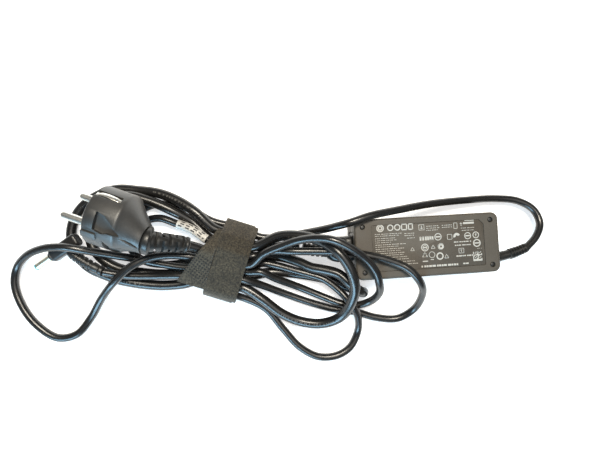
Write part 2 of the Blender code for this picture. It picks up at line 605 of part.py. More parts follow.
def build_mains_plug():
    body_layers = (
        (0.0, 0.0, 17.5), (0.9, 0.0, 18.5), (19.4, 0.0, 18.5), (20.5, 0.1, 17.9), (22.8, 0.8, 15.8),
        (25.8, 1.8, 13.5), (29.2, 3.2, 11.3), (32.0, 4.5, 9.8), (33.5, 5.2, 9.2),
    )
    rings = []
    for rear, offset, radius in body_layers:
        centre = PLUG_FACE + PLUG_REAR * rear + PLUG_SIDE * offset
        rings.append(placed(circle(radius, 24), centre, PLUG_PINS, PLUG_EARTH))
    body = ring_solid("plug_body", rings, "plug_plastic")
    pocket = lathe("cut_face", PLUG_FACE - PLUG_REAR, PLUG_REAR, ((0, 15.9), (5.0, 15.9)), None, 24)
    cut(body, pocket)
    carrier = lathe("plug_face_carrier", PLUG_FACE + PLUG_REAR * 0.3, PLUG_REAR,
                    ((0, 15.1), (0.4, 15.5), (3.3, 15.5)), "plug_plastic", 24)
    earth_hole = plug_point(-1.0, 0.0, 9.4)
    for part, reach in ((carrier, 6.0), (body, 19.0)):
        hole = lathe("cut_earth_%s" % part.name, earth_hole, PLUG_REAR, ((0, 3.1), (reach, 3.1)), None, 16)
        cut(part, hole)
    sleeve = ((0, 2.4), (0, 2.8), (16.5, 2.8), (16.5, 2.4))
    lathe("plug_earth_socket_sleeve", plug_point(0.5, 0.0, 9.4), PLUG_REAR, sleeve, "plated_metal", 16,
          looped=True)
    for number, side in ((1, 1), (2, -1)):
        hole = lathe("cut_pin_hole_%d" % number, plug_point(-1.0, side * 9.5, 0), PLUG_REAR,
                     ((0, 2.7), (7, 2.7)), None, 14)
        cut(carrier, hole)
        pin = ((0, 1.5), (1.1, 2.2), (2.0, 2.4), (22.7, 2.4))
        lathe("plug_pin_%d" % number, plug_point(-19.0, side * 9.5, 0), PLUG_REAR, pin, "plated_metal", 14)
        near = sorted((side * 16.3, side * 20.0))
        groove = plug_box("cut_groove_%d" % number, (-1.0, 17.2), (-3.2, 3.2), near)
        cut(body, groove)
        build_earth_clip(number, side)


def build_earth_clip(number, side):
    """Sprung earth strip lying in its groove: bent in at the front, bowed out in the middle."""
    line = ((0.6, 16.7), (3.0, 17.6), (8.0, 18.2), (13.0, 17.8), (16.8, 17.0))
    thick = 0.6
    rings = []
    for rear, out in line:
        corners = ((-2.4, out), (2.4, out), (2.4, out + thick), (-2.4, out + thick))
        rings.append([plug_point(rear, a, side * b) for a, b in corners])
    ring_solid("plug_earth_clip_%d" % number, rings, "plated_metal")


def plug_relief_axis():
    start = PLUG_FACE + PLUG_REAR * 33.8 + PLUG_SIDE * 5.4
    end = Vector((-153.1, 9.7, 21.3))
    leaving = Vector((0.86, -0.34, -0.38)).normalized()
    return start, start + PLUG_REAR * 8.0, end - leaving * 9.0, end


def build_plug_relief():
    profile = [(0.0, 8.4), (0.02, 8.8), (0.1, 8.8), (0.12, 8.4), (0.14, 6.6), (0.17, 6.6)]
    profile += ribbed(0.2, 0.86, 4, 6.4, 5.4, 1.2)
    profile += [(0.9, 4.4), (0.92, 5.2), (0.985, 5.2), (0.995, 4.8)]
    bent_lathe("plug_strain_relief", plug_relief_axis(), profile, "plug_plastic", 12)


# ---------------------------------------------------------------- DC plug
def dc_point(ahead, side, up):
    return DC_TIP + DC_AHEAD * ahead + DC_SIDE * side + DC_UP * up


def build_dc_plug():
    layers = (
        (12.9, 5.8, 5.8, 2.9), (13.3, 6.6, 6.6, 3.3), (14.3, 6.6, 6.6, 3.3), (14.5, 8.0, 6.4, 2.2),
        (15.4, 8.8, 7.0, 2.2), (34.4, 8.8, 7.0, 2.2), (35.6, 7.8, 6.2, 2.2), (36.0, 6.4, 5.0, 1.8),
    )
    rings = []
    for ahead, wide, high, corner in layers:
        outline = rounded_rect(wide, high, corner, 4)
        rings.append([dc_point(ahead, a, b) for a, b in outline])
    body = ring_solid("dc_plug_body", rings, "black_plastic")
    cut(body, lathe("cut_dc_bore", dc_point(11.0, 0, 0), DC_AHEAD, ((0, 2.75), (6.0, 2.75)), None, 12))
    barrel = ((0.95, 1.75), (0.95, 2.35), (16.7, 2.35), (16.7, 1.75))
    lathe("dc_plug_barrel", DC_TIP, DC_AHEAD, barrel, "plated_metal", 12, looped=True)
    tip = ((0.0, 1.15), (0.0, 2.1), (0.3, 2.35), (0.75, 2.35), (0.75, 1.15))
    lathe("dc_plug_insulator", DC_TIP, DC_AHEAD, tip, "tip_blue", 12, looped=True)
    pin = ((0.9, 0.3), (1.4, 0.45), (16.4, 0.45))
    lathe("dc_plug_centre_pin", DC_TIP, DC_AHEAD, pin, "plated_metal", 8)
    start = dc_point(27.0, -4.75, 0.0)
    bend = start - DC_SIDE * 5.8 + Vector((0, 0, 0.2))
    end = Vector((-210.4, -4.1, 10.4))
    profile = [(0.0, 3.4), (0.1, 3.4)] + ribbed(0.16, 0.9, 5, 3.5, 3.4, 0.7) + [(0.91, 2.9), (0.93, 3.5), (0.99, 3.5)]
    bent_lathe("dc_plug_strain_relief", (start, bend, end), profile, "black_plastic", 10)


# ---------------------------------------------------------------- strap
STRAP_INSIDE = (
    (20.3, 1.0), (22.3, 1.8), (23.6, 3.3), (23.9, 4.7), (23.4, 6.3), (14.6, 16.0), (12.9, 17.0),
    (6.4, 19.4), (4.6, 19.9), (2.9, 19.8), (-21.2, 15.3), (-23.0, 14.7), (-24.8, 13.5), (-26.3, 11.8),
    (-27.3, 9.8), (-27.4, 7.6), (-26.6, 4.4), (-25.2, 2.6), (-22.8, 1.3), (-20.5, 1.0),
)


def offset_outline(outline, distance):
    """Push a convex counter-clockwise outline outward by a distance."""
    result = []
    count = len(outline)
    for i in range(count):
        a = Vector(outline[i - 1])
        b = Vector(outline[i])
        c = Vector(outline[(i + 1) % count])
        before = (b - a).normalized()
        after = (c - b).normalized()
        n1 = Vector((before.y, -before.x))
        n2 = Vector((after.y, -after.x))
        mid = (n1 + n2).normalized()
        result.append(tuple(b + mid * (distance / max(0.5, mid.dot(n1)))))
    return result


def build_strap():
    inside = list(STRAP_INSIDE)
    outside = offset_outline(inside, STRAP_THICK)
    rings = []
    for u, outline in ((STRAP_LEFT, inside), (STRAP_RIGHT, inside), (STRAP_RIGHT, outside), (STRAP_LEFT, outside)):
        rings.append([Vector(strap_point(u, v, max(0.0, z))) for v, z in outline])
    ring_solid("cord_strap", rings, "strap_weave", looped=True)


# Free end of the strap: across, left edge, right edge, height left, height right.
TAIL_LINE = (
    (16.4, -13.2, -11.0, 14.6, 14.6),
    (11.0, -15.0, -11.2, 17.6, 17.4),
    (5.0, -17.4, -11.6, 21.4, 20.8),
    (0.0, -19.4, -12.0, 23.4, 22.0),
    (-6.0, -21.8, -12.8, 21.8, 20.4),
    (-12.0, -24.0, -13.6, 19.2, 18.4),
    (-18.0, -26.2, -14.4, 17.2, 16.8),
    (-24.0, -28.2, -15.2, 15.2, 14.8),
)


def build_tail():
    rings = []
    for v, left_edge, right_edge, z_left, z_right in TAIL_LINE:
        rings.append([
            Vector(strap_point(left_edge, v, z_left)),
            Vector(strap_point(right_edge, v, z_right)),
            Vector(strap_point(right_edge, v, z_right + STRAP_THICK)),
            Vector(strap_point(left_edge, v, z_left + STRAP_THICK)),
        ])
    ring_solid("cord_strap_tail", rings, "strap_weave")


def nearest_index(points, target):
    target = Vector(target)
    return min(range(len(points)), key=lambda i: (points[i] - target).length)


def build_wrap_label(path):
    """Paper sleeve wrapped round one stretch of the DC cord."""
    first = nearest_index(path, (-161.5, 24.2, 9.5))
    last = nearest_index(path, (-142.5, 13.2, 12.4))
    low, high = sorted((first, last))
    stretch = path[low:high + 1:2]
    rings_in = []
    rings_out = []
    for i, point in enumerate(stretch):
        before = stretch[max(0, i - 1)]
        after = stretch[min(len(stretch) - 1, i + 1)]
        u, v = side_axes(after - before)
        rings_in.append(placed(circle(DC_RADIUS + 0.76, 12), point, u, v))
        rings_out.append(placed(circle(DC_RADIUS + 0.92, 12), point, u, v))
    ring_solid("cord_wrap_label", rings_in + rings_out[::-1], "sleeve_label", looped=True)


# ---------------------------------------------------------------- cords
def build_cords():
    """Both cords; the mains cord's first stretch is its own piece, for it flexes
    as the connector is pulled."""
    mains = smooth_route(MAINS_ROUTE)
    split = 9
    tube("mains_cord_flex", thinned(mains[:split + 1]), MAINS_RADIUS, "cord_jacket")
    ahead = (mains[split + 1] - mains[split]).normalized()
    rest = [mains[split] + ahead * GAP] + mains[split + 1:]
    tube("mains_cord", thinned(rest), MAINS_RADIUS, "cord_jacket")
    dc = smooth_route(DC_ROUTE)
    tube("dc_cord", thinned(dc), DC_RADIUS, "cord_jacket")
    build_wrap_label(dc)


def main():
    clear_scene()
    build_brick()
    build_inlet()
    build_inside()
    build_dc_grommet()
    build_connector()
    build_mains_plug()
    build_plug_relief()
    build_dc_plug()
    build_strap()
    build_tail()
    build_cords()


main()
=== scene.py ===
"""Studio scene of a laptop power adapter with its cords coiled and strapped.

Lengths are in millimetres and turned into metres by MM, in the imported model's frame.
"""

import json
import math

import bpy
import bmesh
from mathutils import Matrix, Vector

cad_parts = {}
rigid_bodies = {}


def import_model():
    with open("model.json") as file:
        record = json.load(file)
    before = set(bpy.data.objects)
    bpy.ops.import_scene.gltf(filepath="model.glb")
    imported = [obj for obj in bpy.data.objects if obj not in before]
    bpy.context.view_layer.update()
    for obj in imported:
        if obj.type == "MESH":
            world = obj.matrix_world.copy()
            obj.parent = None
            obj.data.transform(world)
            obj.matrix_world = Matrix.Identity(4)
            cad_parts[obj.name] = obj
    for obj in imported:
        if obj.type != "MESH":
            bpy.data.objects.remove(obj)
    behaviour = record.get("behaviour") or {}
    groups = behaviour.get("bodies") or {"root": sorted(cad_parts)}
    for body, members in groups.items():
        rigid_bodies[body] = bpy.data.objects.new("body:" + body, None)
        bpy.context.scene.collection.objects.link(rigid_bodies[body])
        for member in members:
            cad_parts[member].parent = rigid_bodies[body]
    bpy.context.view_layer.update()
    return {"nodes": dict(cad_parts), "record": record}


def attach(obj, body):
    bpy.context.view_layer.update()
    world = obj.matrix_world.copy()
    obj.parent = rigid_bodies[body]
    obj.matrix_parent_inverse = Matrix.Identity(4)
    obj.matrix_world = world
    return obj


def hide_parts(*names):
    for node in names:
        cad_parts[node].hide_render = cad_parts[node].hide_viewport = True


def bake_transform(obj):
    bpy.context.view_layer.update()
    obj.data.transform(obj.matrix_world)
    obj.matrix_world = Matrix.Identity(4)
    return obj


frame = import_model()

MM = 0.001
X = Vector((1.0, 0.0, 0.0))
Y = Vector((0.0, 1.0, 0.0))
Z = Vector((0.0, 0.0, 1.0))

# ---------------------------------------------------------------- sizes shared with the CAD
BRICK_LENGTH = 95.0
BRICK_WIDTH = 39.0
BRICK_HEIGHT = 26.5
BRICK_CORNER = 4.5
WALL = 2.0
SEAM_LOW = 13.1
SEAM_HIGH = 13.4

MAINS_RADIUS = 3.35
DC_RADIUS = 2.55

INLET_Y = 1.0
INLET_Z = 13.25
CORE_SPACING = 4.9
CORE_LOW = -2.2
CORE_HIGH = 2.6

STRAP_CENTRE = (-127.8, -0.5)
STRAP_ANGLE = -20.7
STRAP_LEFT = -10.5
STRAP_RIGHT = 11.5
STRAP_THICK = 1.0

PLUG_FACE = Vector((-205.3, 32.4, 27.0))
PLUG_REAR = Vector((0.918, -0.378, 0.122)).normalized()
PLUG_SIDE = Vector((-0.381, -0.925, 0.0)).normalized()
PLUG_UP = PLUG_SIDE.cross(PLUG_REAR).normalized()
PLUG_PINS = (PLUG_SIDE + PLUG_UP).normalized()
PLUG_EARTH = (PLUG_UP - PLUG_SIDE).normalized()

DC_TIP = Vector((-254.5, 1.2, 4.8))
DC_TILT = math.radians(13.0)
DC_AHEAD = Vector((0.870 * math.cos(DC_TILT), 0.494 * math.cos(DC_TILT), math.sin(DC_TILT))).normalized()
DC_SIDE = Vector((-0.494, 0.870, 0.0)).normalized()
DC_UP = DC_AHEAD.cross(DC_SIDE).normalized()


# ---------------------------------------------------------------- cord routes
# Where each cord passes the strap: stations along the strap's own axis, and at
# each of them how far across (first number) and how high (second number).
STATIONS = (-17, -7, 3, 14)
SLOTS = {
    "d1": ((19.6, 4.4), (20.2, 4.4), (20.2, 4.4), (19, 4.4)),
    "m1": ((15.4, 9.4), (14.8, 7.6), (13.4, 5.8), (12.4, 5.6)),
    "m3": ((8, 5.3), (7.7, 8), (8.8, 11.8), (12.8, 13.2)),
    "d5": ((7, 12.6), (7, 15), (4.2, 16.4), (5.8, 13.2)),
    "m5": ((0, 17), (0.2, 13.4), (2, 8.6), (5, 5)),
    "d3": ((-6, 12.2), (-6.2, 14.2), (-2.8, 14.8), (0, 15.8)),
    "d4": ((-11.7, 11.2), (-11.8, 12), (-11.3, 12.1), (-11, 11.6)),
    "d7": ((-17.4, 12.2), (-21, 11.8), (-23.6, 9.4), (-23.4, 4.6)),
    "m2": ((-21.2, 5.2), (-20.8, 5.2), (-18.2, 5.4), (-16.6, 7.4)),
    "m4": ((-13.9, 5.2), (-13.6, 5.2), (-11.2, 5), (-9, 4.6)),
    "d2": ((-7.6, 4.4), (-7.3, 6.6), (-6, 9.4), (-5.4, 11)),
    "d6": ((-2, 4.4), (-2.2, 4.4), (-2.9, 4.4), (-2.6, 6.6)),
}


def strap_point(along, across, height):
    a = math.radians(STRAP_ANGLE)
    x = STRAP_CENTRE[0] + along * math.cos(a) - across * math.sin(a)
    y = STRAP_CENTRE[1] + along * math.sin(a) + across * math.cos(a)
    return (x, y, height)


def right(slot):
    return [strap_point(u, v, z) for u, (v, z) in zip(STATIONS, SLOTS[slot])]


def left(slot):
    return right(slot)[::-1]


# From the connector's strain relief to the mains plug's.
MAINS_ROUTE = [
    (-82.5, 4, 13.4), (-90.5, 4.5, 12.2), (-101, 5.6, 9),
    *left("m1"),
    (-149, 31, 10.8), (-159, 38.5, 9), (-172.5, 45, 6.6), (-187, 48, 4.2), (-201.5, 49.5, 3.6),
    (-215, 45.5, 3.6), (-225.5, 37.5, 3.6), (-231.5, 25.5, 3.6), (-231, 12.5, 3.6), (-223.5, 0.5, 3.6),
    (-211, -7, 3.6), (-196, -12.4, 3.6), (-176.5, -16, 3.6), (-160.5, -16, 4),
    *right("m2"),
    (-109, -29, 8.6), (-96, -40, 7.6), (-82.5, -46.5, 7), (-69, -48, 9), (-57.5, -43.5, 14),
    (-51.5, -33.5, 22.4), (-49.5, -23, 28.6), (-53, -10, 32.4), (-60, 0.5, 32.2), (-69.5, 7.5, 26),
    (-82, 11.5, 21.6), (-95.5, 12, 17),
    *left("m3"),
    (-152.5, 25, 5), (-164.5, 33, 8.2), (-179.5, 40.5, 9), (-194, 44.5, 8.6), (-207.5, 41.6, 6.4),
    (-216.5, 32, 3.8), (-220, 18.5, 3.6), (-215.5, 7, 3.6), (-204.5, -2, 3.6), (-189, -6.5, 3.6),
    (-170.5, -9, 3.6),
    *right("m4"),
    (-102, -12, 3.8), (-81, -15, 3.6), (-59.5, -21, 3.6), (-49, -26.3, 3.8), (-43, -28.6, 6),
    (-41.2, -28.6, 12), (-43.6, -27.6, 18), (-50, -22.8, 20.8), (-58, -15, 18.6), (-68, -11.6, 15.8),
    (-75.5, -9.8, 13.8), (-83.5, -5.8, 10.8), (-95, -2, 6.4),
    *left("m5"),
    (-147.5, 7.5, 18.8), (-152.5, 9.5, 21),
]

# From the brick's strain relief to the DC plug's.
DC_ROUTE = [
    (73.5, -5.5, 13), (81, 1, 11.6), (86, 10, 9), (83, 20, 7), (73, 26.5, 6), (57.5, 29, 6),
    (34, 29, 9), (6.5, 27.5, 16), (-17.5, 24.5, 24), (-37.5, 21.5, 30), (-50.5, 18, 30.6),
    (-57.5, 16.5, 27), (-65, 15, 21.6), (-79, 13, 12), (-96, 11, 5.4),
    *left("d1"),
    (-141.5, 26, 4.2), (-152.5, 33, 3.4), (-165.5, 37.5, 2.7), (-180, 37.5, 2.7), (-191, 30, 2.7),
    (-195, 18, 2.7), (-193, 7.5, 2.7), (-185, 0.5, 2.7), (-172, -2.4, 2.7),
    *right("d2"),
    (-108.5, -10.8, 12.8), (-99, -16, 9.4), (-83, -23.5, 4.8), (-66.5, -31.5, 4.8), (-56, -36, 7),
    (-46.5, -38, 7.4), (-36.5, -35, 11.6), (-32.5, -28, 22), (-34, -21, 29), (-36, -14.5, 31.6),
    (-43, -5, 35), (-53.5, 3, 38.2), (-63.5, 8, 38.2), (-73.5, 9.5, 34), (-84.5, 8.5, 28),
    (-95, 5.5, 24.4), (-105.5, 1.5, 20.8),
    *left("d3"),
    (-155, 2.5, 14), (-168.5, 4, 15.2), (-181, 2.5, 15.8), (-192.5, -2.5, 16.4), (-203, -11.5, 14.8),
    (-213, -21.5, 8.4), (-222.5, -34.5, 3.2), (-232, -44.5, 2.8), (-244.5, -46, 2.8),
    (-257.5, -36.5, 2.8), (-266, -23.5, 2.8), (-270, -9, 2.8), (-267, 2, 4.6), (-256.5, 10, 11),
    (-243.5, 13.5, 16.2), (-232.5, 13.5, 18.8), (-226.5, 12.6, 19.1), (-220.5, 11, 18), (-208, 7.5, 12.8),
    (-192, 3.5, 10), (-175.5, -1, 9.2), (-160, -4.5, 10),
    *right("d4"),
    (-108.5, -20, 7.8), (-94, -27, 3.6), (-76.5, -34.5, 2.7), (-60.5, -40, 2.7), (-46, -43, 2.7),
    (-31.5, -48, 2.7), (-17, -49.5, 3.6), (-6, -43, 7.6), (-3.5, -31, 20), (-6.5, -24, 27.6),
    (-10, -19, 30.2), (-14, -14.5, 30.6), (-20, -10.5, 29.8), (-32.5, -5.5, 29.6), (-46.5, -2, 29.6),
    (-60, 0, 25.6), (-73.5, 1, 23.1), (-89, 2, 21.3), (-100, 2.5, 17.2),
    *left("d5"),
    (-152, 20, 11.2), (-162.5, 24.5, 9.4), (-172.5, 28.5, 8.6), (-183, 27, 4.8), (-189, 18.5, 2.8),
    (-186.5, 9.5, 2.7), (-178, 4, 2.7), (-167, 3.4, 2.8),
    *right("d6"),
    (-107.5, -5.3, 9.4), (-98.5, -7.2, 9.6), (-84, -12.2, 9.4), (-75.5, -15, 9.8), (-67, -18.5, 11),
    (-57, -27, 12.4), (-50.5, -35.5, 14.2), (-45.5, -45, 9.6), (-45, -56, 3.6), (-51, -67, 2.8),
    (-61, -72, 2.8), (-73.5, -71.5, 2.8), (-85.5, -64, 2.8), (-96, -51, 2.8), (-107, -36.5, 2.8),
    *left("d7"),
    (-160, -9.8, 12.4), (-179.5, -9, 10), (-196.5, -7.5, 9.7), (-209.8, -4.4, 10.4),
]


def smooth_route(route, spacing=2.0):
    """A smooth curve through every route point, as evenly spaced points."""
    points = [Vector(p) for p in route]
    points = [points[0] * 2 - points[1]] + points + [points[-1] * 2 - points[-2]]
    fine = []
    for i in range(1, len(points) - 2):
        p0, p1, p2, p3 = points[i - 1:i + 3]
        t1 = math.sqrt((p1 - p0).length)
        t2 = t1 + math.sqrt((p2 - p1).length)
        t3 = t2 + math.sqrt((p3 - p2).length)
        steps = max(2, int((p2 - p1).length * 1.5))
        for k in range(steps):
            t = t1 + (t2 - t1) * k / steps
            a1 = p0 * ((t1 - t) / t1) + p1 * (t / t1)
            a2 = p1 * ((t2 - t) / (t2 - t1)) + p2 * ((t - t1) / (t2 - t1))
            a3 = p2 * ((t3 - t) / (t3 - t2)) + p3 * ((t - t2) / (t3 - t2))
            b1 = a1 * ((t2 - t) / t2) + a2 * (t / t2)
            b2 = a2 * ((t3 - t) / (t3 - t1)) + a3 * ((t - t1) / (t3 - t1))
            fine.append(b1 * ((t2 - t) / (t2 - t1)) + b2 * ((t - t1) / (t2 - t1)))
    fine.append(points[-2].copy())
    return even_points(fine, spacing)


def even_points(fine, spacing):
    total = route_length(fine)
    count = max(2, round(total / spacing))
    wanted = [total * i / count for i in range(count + 1)]
    result = []
    travelled = 0.0
    k = 0
    for target in wanted:
        while k < len(fine) - 2 and travelled + (fine[k + 1] - fine[k]).length < target:
            travelled += (fine[k + 1] - fine[k]).length
            k += 1
        piece = (fine[k + 1] - fine[k]).length
        share = min(1.0, (target - travelled) / piece) if piece > 0 else 0.0
        result.append(fine[k].lerp(fine[k + 1], share))
    return result


def route_length(points):
    return sum((b - a).length for a, b in zip(points, points[1:]))


def rounded_rect(width, height, radius, steps=4):
    """Corners of a rounded rectangle round (0, 0), counter-clockwise."""
    radius = max(0.05, min(radius, width / 2 - 0.01, height / 2 - 0.01))
    centres = (
        (width / 2 - radius, height / 2 - radius, 0.0),
        (radius - width / 2, height / 2 - radius, 90.0),
        (radius - width / 2, radius - height / 2, 180.0),
        (width / 2 - radius, radius - height / 2, 270.0),
    )
    outline = []
    for x, y, start in centres:
        for i in range(steps + 1):
            a = math.radians(start + 90.0 * i / steps)
            outline.append((x + radius * math.cos(a), y + radius * math.sin(a)))
    return outline


def circle(radius, count):
    step = 2 * math.pi / count
    return [(radius * math.cos(step * i), radius * math.sin(step * i)) for i in range(count)]


def placed(outline, centre, u, v):
    return [centre + u * a + v * b for a, b in outline]


def side_axes(direction, hint=Vector((0.0, 0.0, 1.0))):
    """Two unit vectors square to a direction, the second as near to the hint as it can be."""
    direction = direction.normalized()
    if abs(direction.dot(hint)) > 0.95:
        hint = Vector((0.0, 1.0, 0.0))
    u = hint.cross(direction).normalized()
    return u, direction.cross(u).normalized()


def bezier(controls, t):
    while len(controls) > 1:
        controls = [a.lerp(b, t) for a, b in zip(controls, controls[1:])]
    return controls[0]


def bezier_slope(controls, t):
    return bezier([b - a for a, b in zip(controls, controls[1:])], t).normalized()


def ribbed(first, last, count, outer_start, outer_end, depth):
    """Profile of a strain relief: ribs with grooves between them, tapering."""
    profile = []
    pitch = (last - first) / count
    for i in range(count):
        t = first + pitch * i
        share = i / max(1, count - 1)
        outer = outer_start + (outer_end - outer_start) * share
        profile.append((t, outer))
        profile.append((t + pitch * 0.55, outer))
        if i < count - 1:
            profile.append((t + pitch * 0.6, outer - depth))
            profile.append((t + pitch * 0.95, outer - depth))
    return profile


def clover(scale=1.0, grow=0.0, steps=30):
    """Three-lobed outline of the mains connector, as (across, up) points."""
    lobe = 3.4 * scale + grow
    centres = [(-CORE_SPACING * scale, CORE_LOW * scale), (CORE_SPACING * scale, CORE_LOW * scale),
               (0.0, CORE_HIGH * scale)]
    hub = (0.0, -0.4 * scale)
    outline = []
    for i in range(steps):
        a = 2 * math.pi * i / steps
        ray = (math.cos(a), math.sin(a))
        reach = 3.9 * scale + grow
        for cx, cy in centres:
            dx, dy = cx - hub[0], cy - hub[1]
            near = dx * ray[0] + dy * ray[1]
            off = dx * dx + dy * dy - near * near
            if off < lobe * lobe and near > -lobe:
                reach = max(reach, near + math.sqrt(lobe * lobe - off))
        outline.append((hub[0] + ray[0] * reach, hub[1] + ray[1] * reach))
    return outline


def inlet_ring(outline, x):
    return [Vector((x, INLET_Y + a, INLET_Z + b)) for a, b in outline]


def plug_point(rear, pins, earth):
    return PLUG_FACE + PLUG_REAR * rear + PLUG_PINS * pins + PLUG_EARTH * earth


def plug_relief_axis():
    start = PLUG_FACE + PLUG_REAR * 33.8 + PLUG_SIDE * 5.4
    end = Vector((-153.1, 9.7, 21.3))
    leaving = Vector((0.86, -0.34, -0.38)).normalized()
    return start, start + PLUG_REAR * 8.0, end - leaving * 9.0, end


def dc_point(ahead, side, up):
    return DC_TIP + DC_AHEAD * ahead + DC_SIDE * side + DC_UP * up


def offset_outline(outline, distance):
    """Push a convex counter-clockwise outline outward by a distance."""
    result = []
    count = len(outline)
    for i in range(count):
        a = Vector(outline[i - 1])
        b = Vector(outline[i])
        c = Vector(outline[(i + 1) % count])
        before = (b - a).normalized()
        after = (c - b).normalized()
        n1 = Vector((before.y, -before.x))
        n2 = Vector((after.y, -after.x))
        mid = (n1 + n2).normalized()
        result.append(tuple(b + mid * (distance / max(0.5, mid.dot(n1)))))
    return result


def nearest_index(points, target):
    target = Vector(target)
    return min(range(len(points)), key=lambda i: (points[i] - target).length)


STRAP_INSIDE = (
    (20.3, 1.0), (22.3, 1.8), (23.6, 3.3), (23.9, 4.7), (23.4, 6.3), (14.6, 16.0), (12.9, 17.0),
    (6.4, 19.4), (4.6, 19.9), (2.9, 19.8), (-21.2, 15.3), (-23.0, 14.7), (-24.8, 13.5), (-26.3, 11.8),
    (-27.3, 9.8), (-27.4, 7.6), (-26.6, 4.4), (-25.2, 2.6), (-22.8, 1.3), (-20.5, 1.0),
)

# Free end of the strap: across, left edge, height left, height right.
TAIL_LINE = (
    (16.4, -13.2, 14.6, 14.6),
    (11.0, -15.0, 17.6, 17.4),
    (5.0, -17.4, 21.4, 20.8),
    (0.0, -19.4, 23.4, 22.0),
    (-6.0, -21.8, 21.8, 20.4),
    (-12.0, -24.0, 19.2, 18.4),
    (-18.0, -26.2, 17.2, 16.8),
    (-24.0, -28.2, 15.2, 14.8),
)


# ---------------------------------------------------------------- node materials
TAIL_SPAN = 43.0


def new_material(name):
    material = bpy.data.materials.new(name)
    material.use_nodes = True
    nodes = material.node_tree.nodes
    nodes.clear()
    output = nodes.new("ShaderNodeOutputMaterial")
    shader = nodes.new("ShaderNodeBsdfPrincipled")
    material.node_tree.links.new(shader.outputs["BSDF"], output.inputs["Surface"])
    return material, material.node_tree, shader


def add(tree, kind, settings=(), inputs=()):
    """A node with its settings and unlinked input values."""
    node = tree.nodes.new(kind)
    for key, value in settings:
        setattr(node, key, value)
    for key, value in inputs:
        node.inputs[key].default_value = value
    return node


def noise(tree, coords, scale, detail=4.0, roughness=0.55):
    node = add(tree, "ShaderNodeTexNoise", (), (("Scale", scale), ("Detail", detail),
                                                ("Roughness", roughness)))
    tree.links.new(coords, node.inputs["Vector"])
    return node.outputs["Fac"]


def ramp(tree, value, stops):
    """A colour ramp; stops are (place, grey or colour)."""
    node = tree.nodes.new("ShaderNodeValToRGB")
    node.color_ramp.elements[0].position = stops[0][0]
    node.color_ramp.elements[1].position = stops[-1][0]
    for place, _ in stops[1:-1]:
        node.color_ramp.elements.new(place)
    for element, (_, colour) in zip(node.color_ramp.elements, stops):
        if not isinstance(colour, tuple):
            colour = (colour, colour, colour)
        element.color = (colour[0], colour[1], colour[2], 1.0)
    tree.links.new(value, node.inputs["Fac"])
    return node.outputs["Color"]


def multiply(tree, a, b):
    node = add(tree, "ShaderNodeMath", (("operation", "MULTIPLY"),))
    for k, value in enumerate((a, b)):
        if isinstance(value, float):
            node.inputs[k].default_value = value
        else:
            tree.links.new(value, node.inputs[k])
    return node.outputs[0]


def mix_colour(tree, factor, a, b, blend="MIX"):
    node = add(tree, "ShaderNodeMix", (("data_type", "RGBA"), ("blend_type", blend)))
    for socket, value in ((node.inputs[0], factor), (node.inputs[6], a), (node.inputs[7], b)):
        if isinstance(value, bpy.types.NodeSocket):
            tree.links.new(value, socket)
        elif isinstance(value, tuple):
            socket.default_value = (value[0], value[1], value[2], 1.0)
        else:
            socket.default_value = value
    return node.outputs[2]


def bump(tree, shader, height, strength, distance):
    node = add(tree, "ShaderNodeBump", (), (("Strength", strength), ("Distance", distance)))
    tree.links.new(height, node.inputs["Height"])
    tree.links.new(node.outputs["Normal"], shader.inputs["Normal"])
    return node


def object_coords(tree):
    return tree.nodes.new("ShaderNodeTexCoord").outputs["Object"]


def moulded(name, dark, light, rough, grain=2600.0, depth=0.00006, metallic=0.0, patch=60.0, spread=0.12,
             shine=0.5):
    """Grained plastic, rubber or metal: fine grain bump, soft colour patches, uneven roughness."""
    material, tree, shader = new_material(name)
    coords = object_coords(tree)
    fine = noise(tree, coords, grain, 3.0)
    wide = noise(tree, coords, patch, 5.0)
    tone = ramp(tree, wide, ((0.3, dark), (0.7, light)))
    speck = ramp(tree, fine, ((0.3, 0.82), (0.7, 1.1)))
    colour = mix_colour(tree, 1.0, tone, speck, "MULTIPLY")
    tree.links.new(colour, shader.inputs["Base Color"])
    gloss = ramp(tree, wide, ((0.25, rough - spread), (0.75, rough + spread)))
    tree.links.new(gloss, shader.inputs["Roughness"])
    shader.inputs["Metallic"].default_value = metallic
    shader.inputs["Specular IOR Level"].default_value = shine
    bump(tree, shader, fine, 0.6, depth)
    return material


